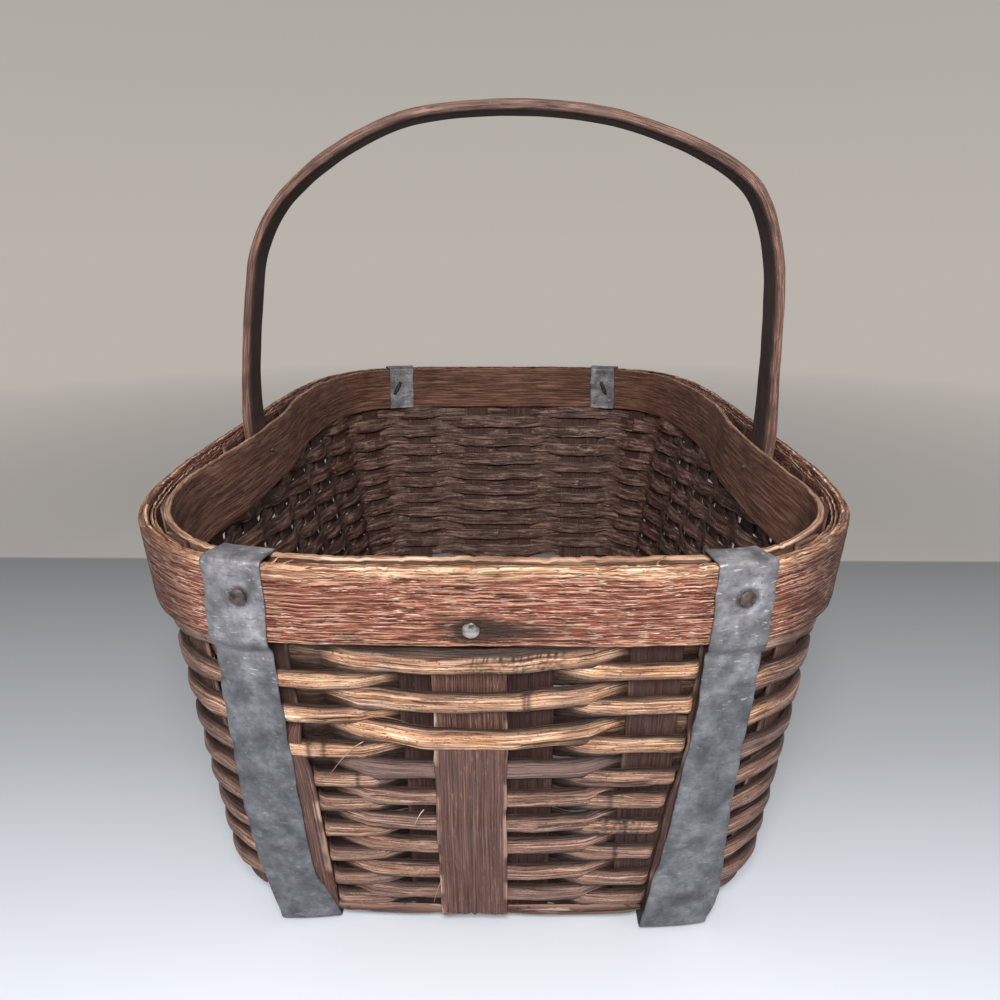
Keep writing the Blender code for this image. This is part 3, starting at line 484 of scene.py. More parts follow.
# Rods. The front's middle lines are read from the photograph, as (x, height) in mm
rods = {
    "first": 0.1717, "topRows": 6, "topPitch": 0.010, "firstLow": 0.1125, "lowPitch": 0.0083, "count": 18,
    "thickness": 0.0046, "shift": 0.00385, "margin": 0.001, "endSpace": 0.0004, "step": 0.0013,
    "topHalf": 0.0056, "lowHalf": 0.0049, "bowOver": (0, 2, 4), "bow": 0.0025, "bowMiddle": -0.0087,
    # how a rod changes as it dives: deep inside, inside, diving, coming out, outside
    "stages": (-2.0, -1.0, -0.6, 0.0, 1.0), "sideAt": (-1.0, -0.75, -0.05, 0.72, 1.0),
    "tallAt": (1.24, 1.22, 1.16, 1.04, 1.2), "deepAt": (1, 0.62, 0.6, 0.92, 1),
    # its lower and upper edges are drawn deeper there and painted dark as shade in the gaps, on the top rows,
    # the others and some single rows
    "topReach": (0.9, 3.3, 1.6, 0.5, 0.0), "lowReach": (0.6, 2.0, 1.4, 0.45, 0.0),
    "deeper": {4: 1.35, 17: 1.4}, "firstUp": (0.4, 2.0, 1.6, 1.0, 0.9), "restUp": (0.35, 1.4, 0.8, 0.1, 0.0),
    "front": {
        0: ((-125, 168), (-92, 165.3), (-60, 164.6), (-20, 164.3), (10, 164.7), (32, 166.3), (56, 168),
            (90, 168.5), (125, 169)),
        1: ((-125, 158), (-100, 153.8), (-80, 153.4), (-50, 154), (0, 157), (38, 159), (62, 159.7),
            (100, 159.7), (125, 159)),
        2: ((-125, 149), (-95, 145.8), (-68, 144.9), (-30, 143.8), (5, 143.9), (32, 145.2), (60, 148.4),
            (90, 148.5), (125, 149)),
        3: ((-125, 138), (-100, 134.6), (-80, 134.2), (-45, 134.6), (0, 137), (35, 139.5), (65, 140.6),
            (100, 140.6), (125, 139)),
        4: ((-125, 128), (-95, 128), (-68, 127.4), (-35, 123.4), (0, 122.3), (28, 123.2), (58, 127.2),
            (90, 127.2), (125, 128)),
        5: ((-125, 118), (-100, 114), (-80, 113.7), (-50, 114), (0, 115.5), (40, 117.5), (70, 118),
            (100, 118), (125, 118)),
        6: ((-125, 108), (-95, 104.8), (-60, 103.2), (0, 102.8), (30, 103.6), (55, 104.8), (90, 105.5),
            (125, 108)),
        7: ((-125, 100), (-85, 95.7), (0, 96.5), (63, 98.3), (85, 98.5), (125, 100)),
        8: ((-125, 91), (-60, 86), (0, 84.8), (30, 85), (60, 87.4), (125, 91.5)),
        9: ((-125, 83.5), (-85, 80.5), (0, 81.5), (63, 83.8), (90, 83.8), (125, 84.5)),
        10: ((-125, 74.5), (-60, 70), (0, 68.6), (30, 68.8), (60, 71), (125, 75)),
        11: ((-125, 66.5), (-85, 63.2), (0, 64.5), (63, 66.9), (90, 66.9), (125, 68)),
        12: ((-125, 58), (-60, 54.3), (0, 53.3), (30, 53.6), (60, 55.8), (125, 59)),
        13: ((-125, 50), (-85, 46.6), (0, 47.5), (63, 49.6), (90, 49.6), (125, 51)),
        14: ((-125, 42), (-60, 37), (0, 35.4), (30, 35.5), (60, 37.5), (125, 42.5)),
        15: ((-125, 34), (-85, 29.8), (0, 30), (63, 31.4), (90, 31.4), (125, 34)),
        16: ((-125, 27), (-60, 21.6), (0, 20.2), (30, 20.3), (60, 22), (125, 26.5)),
        17: ((-125, 19.5), (-85, 15.6), (0, 15.8), (63, 17), (90, 17), (125, 19.5)),
    },
    # one value a row, from the top: height, height as it dives at the front, straw colour, grey
    "tall": (0.88, 0.80, 0.98, 0.84, 1.04, 0.84, 1.18, 0.94, 1.0, 0.92, 1.02, 0.95, 1.0, 0.96, 1.04, 0.94,
             1.0, 0.9),
    "neck": (0.45, 0.4, 0.35, 0.4, 0.3, 0.4, 0.35, 0.55, 0.5, 0.55, 0.5, 0.55, 0.5, 0.55, 0.5, 0.55,
             0.5, 0.55),
    "straw": (0.85, 0.9, 0.78, 0.85, 1.0, 0.85, 0.0, 0.30, 0.22, 0.24, 0.16, 0.34, 0.18, 0.16, 0.26, 0.18,
              0.1, 0.12),
    "grey": (0.1, 0.0, 0.12, 0.05, 0.0, 0.05, 0.85, 0.1, 0.2, 0.1, 0.25, 0.1, 0.2, 0.3, 0.15, 0.25,
             0.45, 0.3),
    "knots": {2: (0.0158, 0.0175), 5: (-0.086, -0.0787), 7: (-0.0639,), 9: (0.058,), 11: (0.021, 0.066),
              13: (0.062,)},
    "bark": {0: (-0.0085, 0.033), 11: (0.05, 0.075)},  # speckled bark left on, from and to
    # slits, from, to and how high up the section
    "slit": {2: (-0.040, -0.0145, 0.2), 3: (-0.09, -0.05, -0.2), 4: (0.01, 0.06, -0.45),
             5: (0.055, 0.085, 0.1), 7: (0.04, 0.078, -0.3), 8: (-0.06, -0.03, 0.2), 10: (0.02, 0.05, 0.0),
             13: (0.03, 0.07, 0.1)},
    "slitDepth": 0.0014, "spanRound": 0.021,
}
rodHeights = [rods["first"] - row * rods["topPitch"] for row in range(rods["topRows"])]
rodHeights += [rods["firstLow"] - row * rods["lowPitch"] for row in range(rods["count"] - rods["topRows"])]


# The groups that one row passes, as (low, high, 1 outside or -1 inside). At the front
# the low rods come out from behind the left splint, and end behind the thin right one
def rowGroups(row, height):
    groups = []
    for index, (low, high) in enumerate(weaveGroups(height)):
        outside = (index + row) % 2 == 1
        if outside and index == 0 and row > rods["topRows"]:
            edge = np.interp(height, *uprights["leftEdge"])
            groups += [(low, edge - 0.001, -1), (edge + 0.003, edge + 0.016, 1)]
        elif outside and index == 2:
            edge = np.interp(height, *uprights["rightEdge"])
            groups += [(low, edge - 0.003, 1), (edge + 0.002, high + 0.003, -1)]
        else:
            groups.append((low, high, 1 if outside else -1))
    return groups


def rodSection(steps=15):  # crown outwards, flat back, as (outwards, up) about the middle
    turn = np.linspace(-math.pi / 2, math.pi / 2, steps)
    crown = np.c_[-0.55 + 1.55 * np.cos(turn) ** 0.7, np.sin(turn)]
    flat = np.c_[[-0.92, -1.0, -1.0, -1.0, -0.92], [0.93, 0.62, 0.0, -0.62, -0.93]]
    return np.concatenate([crown, flat])


def rodLevel(row, height, near, total):  # 1 outside a group, -1 at its edge inside, -2 deep inside
    margin = rods["margin"]
    places, levels = [], []
    for lap in (-total, 0.0, total):
        for low, high, sign in rowGroups(row, height):
            if sign > 0:
                places += [low - margin + lap, high + margin + lap]
                levels += [1, 1]
            else:
                places += [low - margin + lap, (low + high) / 2 + lap, high + margin + lap]
                levels += [-1, -2, -1]
    level = np.interp(near, places, levels)
    return np.convolve(np.pad(level, 2, "edge"), np.ones(5) / 5, "valid")


def rodLift(row, height, run, near, atFront):  # how far the row wanders from its level
    lift = drift(run, row + 10, 0.09) * 0.0006
    xs, zs = np.array(rods["front"][row]).T / 1000
    line = np.mean([np.interp(near + offset, xs, zs) for offset in np.linspace(-0.012, 0.012, 9)], axis=0)
    return lift * (1 - 0.6 * atFront) + (line - height) * atFront


def rodShadeSkirt(row, level, atFront, upper):  # how much deeper the edges are drawn, over the section: dark skirts of painted shade
    low = np.array(rods["topReach"] if row < rods["topRows"] else rods["lowReach"])
    low = low * rods["deeper"].get(row, 1.0)
    high = rods["firstUp"] if row == 0 else rods["restUp"]
    lowSkirt = np.interp(level, rods["stages"], low) * atFront
    if row == rods["count"] - 1:
        lowSkirt = lowSkirt + 0.6 * (1 - atFront)
    highSkirt = np.interp(level, rods["stages"], high) * atFront
    shadeSkirt = np.where(upper < 0, lowSkirt[:, None], highSkirt[:, None])
    return shadeSkirt * np.clip((abs(upper) - 0.45) / 0.5, 0, 1)


def rodSlit(row, near, outer, upper):
    if row not in rods["slit"]:
        return np.zeros((len(near), outer.size))
    low, high, middle = rods["slit"][row]
    along = ease(near, low, low + 0.006) * ease(-near, -high, -high + 0.006)
    return along[:, None] * bell(upper, middle, 0.16) * (outer > 0)


# Straw where the sun reaches; painted shade where the rod dives, below its crown, along its upper edge and on
# its skirts; dirt with painted shade on its back; dirt in its knots and slits
def rodWearAndShade(row, run, near, side, atFront, outer, upper, knots, slit, shadeSkirt):
    wearAndPaintedLight = np.zeros((len(run), outer.size, 4))
    crown = np.clip(outer * 0.8 + 0.45, 0, 1)
    # the lower side of the crown, where shade is painted and less straw shows
    lowerEdgeShade = np.clip((-upper - 0.3) * 1.6, 0, 1) * (outer > -0.8)
    sunny = rods["straw"][row] * (0.22 + 0.78 * ease(-abs(near), -0.150, -0.105))
    sunny = sunny * (0.86 + 0.25 * drift(run, row + 160, 0.05))
    wearAndPaintedLight[..., 0] = sunny[:, None] * crown * (1 - 0.5 * lowerEdgeShade)
    diving = ease(-side, -0.2, 0.8)
    # the back is darker: dirt together with painted shade
    wearAndPaintedLight[..., 1] = (0.56 + 0.14 * atFront)[:, None] * (1 - crown)
    # painted shade along the lower edge
    wearAndPaintedLight[..., 1] += (0.62 if row < rods["topRows"] else 0.75) * lowerEdgeShade
    # painted shade where the rod dives behind its neighbours
    wearAndPaintedLight[..., 1] += ((0.3 + 0.4 * atFront * diving) * diving)[:, None] * crown
    # painted shade along the upper edge
    wearAndPaintedLight[..., 1] += 0.62 * np.clip(upper * 2.4 - 1.5, 0, 1) * (outer > -0.8)
    wearAndPaintedLight[..., 1] += 0.8 * knots[:, None] + 0.85 * slit + 0.42 * ease(abs(near), 0.115, 0.15)[:, None] * crown
    # the skirts are painted dark: shade in the gaps of the weave
    wearAndPaintedLight[..., 1] += 0.9 * np.clip(shadeSkirt * 1.4, 0, 1) * atFront[:, None]
    if row in rods["bark"]:
        low, high = rods["bark"][row]
        patch = ease(near, low - 0.002, low + 0.002) * ease(-near, -high - 0.002, -high + 0.002)
        skin = lumps(run[:, None], np.arange(outer.size)[None] * 0.001, row + 60, 0.0024, 0.0014)
        wearAndPaintedLight[..., 1] += 0.62 * patch[:, None] * ease(-abs(skin - 0.05), -0.22, -0.08)
    wearAndPaintedLight[..., 2] = rods["grey"][row] * (0.3 + 0.7 * atFront)[:, None]
    return wearAndPaintedLight


# A rod is widest where it passes outside, and runs out to a leaf-like tip as it dives
# between its neighbours to pass inside
def makeRod(row):
    height = rodHeights[row]
    total = 4 * quarterAt(height)
    around = weaveGroups(height)
    end = (7 * row + 4) % len(around)  # the group that hides the rod's ends, another on each row
    end += (end + row) % 2
    start = sum(around[end]) / 2 + rods["endSpace"] / 2
    step = rods["step"] * (0.6 if row in rods["bark"] or row in rods["slit"] else 1.0)
    run = np.arange(start, start + total - rods["endSpace"], step)
    near = np.mod(run + total / 2, total) - total / 2  # the same, from the front's middle
    level = rodLevel(row, height, near, total)
    side = np.interp(level, rods["stages"], rods["sideAt"])
    keep = (abs(near) < 0.135) | (np.arange(len(run)) % 2 == 0)
    run, near, side, level = run[keep], near[keep], side[keep], level[keep]
    atFront = ease(-abs(near), -0.140, -0.112)
    shift = side * rods["shift"] + drift(run, row + 40, 0.05) * 0.0003
    if row in rods["bowOver"]:
        shift = shift + rods["bow"] * ease(-abs(near - rods["bowMiddle"]), -0.040, -0.018)
    base = ringPoints(height, run, uprights["inset"] - shift)
    base[:, 2] += rodLift(row, height, run, near, atFront)
    facing = np.c_[facingAt(height, run), np.zeros(len(run))]
    lean = (wall["sideLean"] + wall["endLean"]) / 2 / wall["rimHeight"]
    up = unit(np.c_[facing[:, :2] * lean, np.ones(len(run))])
    out = unit(facing - up * np.sum(facing * up, axis=1)[:, None])
    turning = (1 - np.clip(level, -1, 1) ** 2) * np.sign(np.gradient(side))
    twist = drift(run, row + 70, 0.12) * 0.16 + turning * 0.14
    neck = rods["neck"][row]
    tallFront = np.interp(level, rods["stages"], (1.1, neck + 0.12, neck + 0.3, 0.95, 1.0))
    tallFront = tallFront * rods["tall"][row]
    tallSide = np.interp(level, rods["stages"], rods["tallAt"])
    half = rods["topHalf"] if row < rods["topRows"] else rods["lowHalf"]
    tall = half * (tallFront * atFront + tallSide * (1 - atFront) * 0.97)
    tall = tall * (1 + 0.07 * drift(run, row + 100, 0.07))
    deep = rods["thickness"] / 2 * (1 + 0.06 * drift(run, row + 130, 0.05))
    deep = deep * np.interp(level, rods["stages"], rods["deepAt"])
    knots = np.zeros(len(run))
    for place in rods["knots"].get(row, ()):
        knots = np.maximum(knots, bell(near, place, 0.0012))
    tall = tall * (1 + 0.10 * knots)
    section = rodSection()
    outer, upper = section[None, :, 0], section[None, :, 1]
    lumpy = 1 + 0.10 * lumps(run[:, None], np.arange(outer.size)[None] * 0.001, row, 0.026, 0.0018)
    slit = rodSlit(row, near, outer, upper)
    shadeSkirt = rodShadeSkirt(row, level, atFront, upper)
    depth = outer * deep[:, None] * lumpy - slit * rods["slitDepth"]
    rise = upper * tall[:, None] * (1 + 0.4 * (lumpy - 1)) * (1 + shadeSkirt)
    turned = np.cos(twist)[:, None], np.sin(twist)[:, None]
    across = (depth * turned[0] - rise * turned[1] * 0.6)[..., None]
    along = (depth * turned[1] * 0.6 + rise * turned[0])[..., None]
    rings = base[:, None] + out[:, None] * across + up[:, None] * along
    spans = np.linspace(0, rods["spanRound"], outer.size)
    wearAndPaintedLight = rodWearAndShade(row, run, near, side, atFront, outer, upper, knots, slit, shadeSkirt)
    piece = layPiece(f"rod{row + 1:02d}", rings, run + row * 2.37, spans + row * 0.61, wearAndPaintedLight)
    settle(piece, willow, f"rod_row_{row + 1:02d}")


for row in range(rods["count"]):
    makeRod(row)
print("rods woven")


# At the front the first and last long uprights come out over the low rods
def frontPath(number, height):  # the shift of the middle, the inset and the width's share
    out = ease(-height, -uprights["outFrom"], -uprights["outTo"])
    inset = uprights["inset"] + (uprights["outInset"] - uprights["inset"]) * out
    place, width = uprights["long"][number - 1][:2]
    if number == 1:
        edge = np.interp(height, *uprights["leftEdge"])
        low = (place - width / 2) * (1 - out) + (edge - width) * out
        return (low + edge) / 2 - place, inset, (edge - low) / width
    edge = np.interp(height, *uprights["rightEdge"]) + 0.0008
    return edge + width / 2 - place, inset + 0.0003 * out, 1.0 - 0.1 * out


# A flat splint that runs down one wall, under the floor and up the opposite wall
def makeUpright(name, sides, place, width, groups, phase, lift, seed, number=0):
    offsets = acrossPlaces(width, 8, uprights["rounding"])
    heights = np.linspace(uprights["top"], bendTop, 112)
    halves = []
    for order, side in enumerate(sides):
        rows = []
        aside, inset, share = 0.0, uprights["inset"], 1.0
        for height, down in zip(heights, np.linspace(0, 0.2, 112)):
            if number in (1, 5) and side == frontSide:
                aside, inset, share = frontPath(number, height)
            middle = place + aside + 0.0005 * drift(down, seed + order * 5, 0.16)
            ripple = 0.0002 * drift(down, seed + order * 7 + 50, 0.04)
            spread = offsets * share * (1 + 0.02 * drift(down, seed + order * 11, 0.05))
            row = wallPoints(height, side, middle + spread, inset + ripple)
            if side == frontSide:
                row[:, 2] -= frontSag(row[:, 0], height)
            rows.append(row)
        corner = wallPoints(uprights["floor"], side, place + aside + offsets, inset)
        halves.append(footBend(np.array(rows), corner, side, uprights["bend"], 9))
    first, last = halves
    floor = floorRun(first, last, 210)
    signs = [1 if (phase + other) % 2 == 0 else -1 for other in range(len(groups))]
    axis = 1 if frontSide in sides else 0
    level = weaveSide(floor[:, :, axis].mean(1), groups, signs, 0.003)
    floor[:, :, 2] = uprights["floor"] + level[:, None] * lift
    grid = np.concatenate([first, floor, last[::-1]])
    lengths = lengthsAlong(grid.mean(1))
    normals = surfaceNormals(grid)
    if np.dot(normals[10, len(offsets) // 2], inward[sides[0]]) > 0:
        normals = -normals
    half = uprights["thickness"] / 2 * edgeFall(offsets, width, uprights["rounding"])
    half = half * (1 + 0.05 * lumps(lengths[:, None], offsets[None], seed, 0.03, 0.004))
    rings = thicken(grid, normals, half, half)
    wearAndPaintedLight = noWear(rings)
    columns = len(offsets)
    edge = 1 - np.clip((width / 2 - abs(offsets)) / 0.0018, 0, 1)
    chipped = ease(lumps(lengths[:, None], offsets[None], seed + 9, 0.012, 0.01), 0.0, 0.35)
    chipped = edge[None] * chipped
    wearAndPaintedLight[:, :columns, 0] = np.clip(chipped * (1.6 if number == 1 else 0.9), 0, 1)
    wearAndPaintedLight[:, columns:, 0] = (chipped * 0.25)[:, ::-1]
    high = grid[..., 2].mean(1) * (grid[..., 1].mean(1) < -0.2)  # on the front, else 0
    # painted shade on the outer faces, strongest on the front's uprights behind the rods, on the first only
    # where it is tucked behind them
    shade = {1: 0.2 + 0.45 * ease(high, 0.122, 0.136), 2: 0.74, 3: 0.74, 4: 0.66, 5: 0.6}.get(number, 0.3)
    wearAndPaintedLight[:, :columns, 1] = np.broadcast_to(shade, len(grid))[:, None]
    # the inner faces darker: dirt together with painted shade
    wearAndPaintedLight[:, columns:, 1] = 0.5
    wearAndPaintedLight[..., 2] = 0.25 + 0.15 * drift(lengths, seed + 3, 0.1)[:, None]
    spans = np.r_[offsets, width + offsets]
    return layPiece(name, rings, lengths + seed * 1.3, spans + seed * 0.17, wearAndPaintedLight)


for number, (place, width, column) in enumerate(uprights["long"], 1):
    piece = makeUpright(f"longUpright{number}", (frontSide, backSide), place, width, sideGroups, column,
                        uprights["lift"], 200 + number, number)
    settle(piece, splintAsh, f"upright_long_{number}")
for index, place in enumerate(crossPlaces):
    piece = makeUpright(f"crossUpright{index + 1}", (leftSide, rightSide), place, uprights["width"],
                        floorColumns, index, -uprights["lift"], 220 + index)
    settle(piece, splintAsh, f"upright_cross_{index + 1}")


# A splint on one wall only, through rows of points at falling heights
def makeSplint(name, grid, offsets, thickness, seed, outside, wearOut):
    lengths = lengthsAlong(grid.mean(1))
    normals = surfaceNormals(grid)
    if np.dot(normals[len(grid) // 2, len(offsets) // 2], outside) < 0:
        normals = -normals
    width = offsets[-1] - offsets[0]
    half = np.broadcast_to(thickness / 2 * edgeFall(offsets, width, 0.0010), grid.shape[:2])
    half = half - 0.00012 * abs(lumps(lengths[:, None], offsets[None], seed + 20, 0.05, 0.0022))
    rings = thicken(grid, normals, half, half)
    columns = len(offsets)
    wearAndPaintedLight = noWear(rings)
    edge = 1 - np.clip((width / 2 - abs(offsets)) / 0.0019, 0, 1)
    chipped = ease(lumps(lengths[:, None], offsets[None], seed, 0.010, 0.01), -0.15, 0.2)
    wearAndPaintedLight[:, :columns, 0] = edge[None] * chipped * wearOut["edge"]
    wearAndPaintedLight[:, :columns, 1] = wearOut["dirtAndShade"]
    # the inner face darker: dirt together with painted shade
    wearAndPaintedLight[:, columns:, 1] = 0.66
    high = grid[..., 2].mean(1)
    greyed = wearOut["grey"] * ease(-high, -0.140, -0.105) + 0.12 * drift(lengths, seed + 3, 0.05)
    wearAndPaintedLight[..., 2] = greyed[:, None]
    return layPiece(name, rings, lengths + seed * 1.3, np.r_[offsets, width + offsets] + seed * 0.17, wearAndPaintedLight)


def makeCorner(number, corner, index):  # the index is the corner's among the weave's groups
    offsets = acrossPlaces(uprights["cornerWidth"], 8, 0.0010)
    rows = []
    for height in np.linspace(uprights["top"], bendTop, 112):
        middle = sum(weaveGroups(height)[index]) / 2
        rows.append(ringPoints(height, middle + offsets, uprights["inset"]))
    outside = np.r_[facingAt(0.1, np.array([sum(weaveGroups(0.1)[index]) / 2]))[0], 0]
    piece = makeSplint(f"cornerUpright{number + 1}", np.array(rows), offsets, uprights["thickness"],
                       240 + number, outside, {"edge": 0.6, "dirtAndShade": 0.25, "grey": 0.25})
    settle(piece, splintAsh, f"upright_corner_{corner}")


corners = {"front_right": 3, "back_right": 11, "back_left": 15, "front_left": 23}
for number, (corner, index) in enumerate(corners.items()):
    makeCorner(number, corner, index)

# The wide splint on the middle of the front, tucked behind the top three rods
centreSplint = {"place": -0.0092, "width": 0.0343, "thickness": 0.0022, "foot": 0.0085, "top": 0.174,
                "behind": 0.0074, "outside": 0.00245, "leaves": 0.1245, "lands": 0.1165, "ragged": 0.0014,
                "straight": 0.0155}


def makeCentreSplint():
    look = centreSplint
    offsets = acrossPlaces(look["width"], 22, 0.0009)
    rows = []
    for height in np.linspace(look["top"], look["foot"], 160):
        tucked = ease(height, look["lands"], look["leaves"])
        depth = look["outside"] + (look["behind"] - look["outside"]) * tucked
        wander = 0.0003 * drift(height, 301, 0.13)
        edges = np.where(offsets < 0, drift(height, 302, 0.05), drift(height, 303, 0.06))
        edges = edges * (abs(offsets) > look["straight"])
        row = wallPoints(height, frontSide, look["place"] + offsets * (1 + 0.020 * edges) + wander, depth)
        row[:, 2] -= frontSag(row[:, 0], height)
        rows.append(row)
    grid = np.array(rows)
    foot = ease(-grid[..., 2], -0.020, -look["foot"])
    grid[..., 2] += foot * look["ragged"] * (0.3 + drift(offsets, 305, 0.006))[None]
    piece = makeSplint("centreSplint", grid, offsets, look["thickness"], 304, (0, -1, 0),
                       {"edge": 1.0, "dirtAndShade": 0.10, "grey": 0.25})
    settle(piece, splintAsh, "front_splint")


makeCentreSplint()
print("splints laid")

# The bentwood handle
handle = {
    "thickness": 0.0074, "legThickness": 0.0081, "taper": 0.05, "width": 0.028, "crownWidth": 0.0245,
    "rise": 0.206, "centreY": -0.0485, "skew": math.radians(-7.0), "legInset": 0.0118, "foot": 0.1773,
    "aside": -0.0008, "roundness": 0.24,  # 0 a square section, 1 an oval one
    # the outer edge, as shares of the half span and of the rise
    "arch": ((-0.985, 0.19), (-0.946, 0.42), (-0.898, 0.60), (-0.780, 0.752), (-0.567, 0.888),
             (-0.309, 0.976), (0.0, 1.0), (0.309, 0.981), (0.550, 0.926), (0.792, 0.828), (0.910, 0.726),
             (0.977, 0.544), (0.997, 0.277)),
}


def legPlace(side):
    reach = wall["rimHalfWidth"] - handle["legInset"]
    return handle["centreY"] + math.tan(handle["skew"]) * (reach if side == rightSide else -reach)


def legReach(height):
    farEdge = legPlace(rightSide) - handle["width"] / 2
    return wallPoints(height, rightSide, farEdge, handle["legInset"])[0][0]


def handleLine():  # the outer edge, seen from the front
    span, rim = legReach(wall["rimHeight"]), wall["rimHeight"]
    knots = [(-legReach(handle["foot"]), handle["foot"]), (-span, rim)]
    knots += [(across * span, rim + up * handle["rise"]) for across, up in handle["arch"]]
    knots += [(span, rim), (legReach(handle["foot"]), handle["foot"])]
    knots = np.array(knots)
    points = []
    for index in range(len(knots) - 1):
        before, first = knots[max(index - 1, 0)], knots[index]
        last, after = knots[index + 1], knots[min(index + 2, len(knots) - 1)]
        for share in np.linspace(0, 1, 16, endpoint=False):
            square, cube = share ** 2, share ** 3
            leaving = (last - before) / 2 * (cube - 2 * square + share)
            arriving = (after - first) / 2 * (cube - square)
            place = first * (2 * cube - 3 * square + 1) + last * (3 * square - 2 * cube)
            points.append(place + leaving + arriving)
    points = np.array(points + [knots[-1]])
    lengths = lengthsAlong(points)
    even = np.linspace(0, lengths[-1], 620)
    return even, np.stack([np.interp(even, lengths, points[:, axis]) for axis in (0, 1)], -1)


def makeHandle():
    even, outer = handleLine()
    ahead = np.gradient(outer, axis=0)
    inwards = unit(np.c_[ahead[:, 1], -ahead[:, 0]])
    above = ease(outer[:, 1], wall["rimHeight"], wall["rimHeight"] + handle["taper"])
    depth = handle["legThickness"] + (handle["thickness"] - handle["legThickness"]) * above
    depth = depth - above * 0.0003 * (1 + drift(even, 321, 0.15))
    shave = above * 0.00018 * (1 + drift(even, 322, 0.09))  # worn off the outer edge
    middle = outer + inwards * (depth / 2 + shave / 2)[:, None]
    middle[:, 0] += handle["aside"] * above
    turn = np.linspace(0, 2 * math.pi, 44, endpoint=False)
    circle = np.c_[np.cos(turn), np.sin(turn)]
    boxy = np.sign(circle) * abs(circle) ** handle["roundness"]
    worn = lumps(even[:, None], turn[None] * 0.004, 33, 0.016, 0.005)
    arris = 1 - 0.04 * (0.6 + worn) * above[:, None] * abs(np.sin(2 * turn))[None]
    ridges = 1 - 0.010 * abs(lumps(even[:, None], turn[None] * 0.006, 39, 0.035, 0.0012)) * above[:, None]
    wide = handle["width"] + (handle["crownWidth"] - handle["width"]) * above
    wide = wide / 2 * (1 - above * 0.012 * (1 + drift(even, 323, 0.12)))
    radial = boxy[None, :, 0] * ((depth - shave) / 2)[:, None] * arris * ridges
    sideways = boxy[None, :, 1] * wide[:, None] * arris * ridges
    flatX = middle[:, None, 0] - inwards[:, None, 0] * radial
    flatZ = middle[:, None, 1] - inwards[:, None, 1] * radial
    rings = np.stack([flatX, handle["centreY"] + flatX * math.tan(handle["skew"]) + sideways, flatZ], -1)
    wearAndPaintedLight = noWear(rings)
    corner = np.clip(abs(np.sin(2 * turn)) * 1.7 - 0.75, 0, 1)[None]
    rubbed = ease(lumps(even[:, None], turn[None] * 0.01, 35, 0.02, 0.02), -0.2, 0.2)
    wearAndPaintedLight[..., 0] = 0.9 * corner * rubbed
    mottled = ease(lumps(even[:, None], turn[None] * 0.012, 37, 0.011, 0.006), -0.1, 0.4)
    # painted shade on the inner side, with dirt and mottling over all
    wearAndPaintedLight[..., 1] = 0.9 * np.clip(-boxy[None, :, 0] * 1.6 - 0.4, 0, 1) + 0.04 + 0.30 * mottled
    crown = above * bell(outer[:, 0], 0, 0.10)
    wearAndPaintedLight[..., 2] = 0.15 + 0.1 * np.clip(boxy[None, :, 0], 0, 1) + 0.25 * crown[:, None]
    piece = layPiece("bentHandle", rings, even, np.linspace(0, 0.070, 44), wearAndPaintedLight, sharp=60)
    settle(piece, handleAsh, "handle")


makeHandle()
print("handle bent")

# Rim: four layers of bent splits, from the outside in
rim = {
    "bulge": 0.0092, "bulgeFlat": 0.012, "bulgeRun": 0.12,  # of the inner band, round the handle's legs
    "fineStep": 0.0011, "coarseStep": 0.0024, "fineReach": 0.150, "seam": 0.112,
    "rounding": 0.0013, "thinRounding": 0.0006, "edgeChip": 0.0045,
    # the dark stain at the front nail and the smear beside it, as (middle, reach) across and up
    "stain": ((-0.0068, 0.0105), (0.1868, 0.0068)), "smear": ((0.012, 0.020), (0.1855, 0.0055)),
    "outerInset": 0.0, "outerThickness": 0.005, "middleInset": 0.0055, "middleThickness": 0.0014,
    "middleSpace": 0.0002, "innerInset": 0.0115, "innerThickness": 0.0036,
}


def legBulge(height, run):  # the inner band passes round the handle's legs
    total = 4 * quarterAt(height)
    legs = [side * quarterAt(height) + runSign[side] * legPlace(side) for side in (rightSide, leftSide)]
    folded = np.mod(run, total)
    away = np.minimum(abs(folded - legs[0]), abs(folded - legs[1]))
    share = np.clip((away - handle["width"] / 2 - rim["bulgeFlat"]) / rim["bulgeRun"], 0, 1)
    return rim["bulge"] * (1 + np.cos(math.pi * share)) / 2


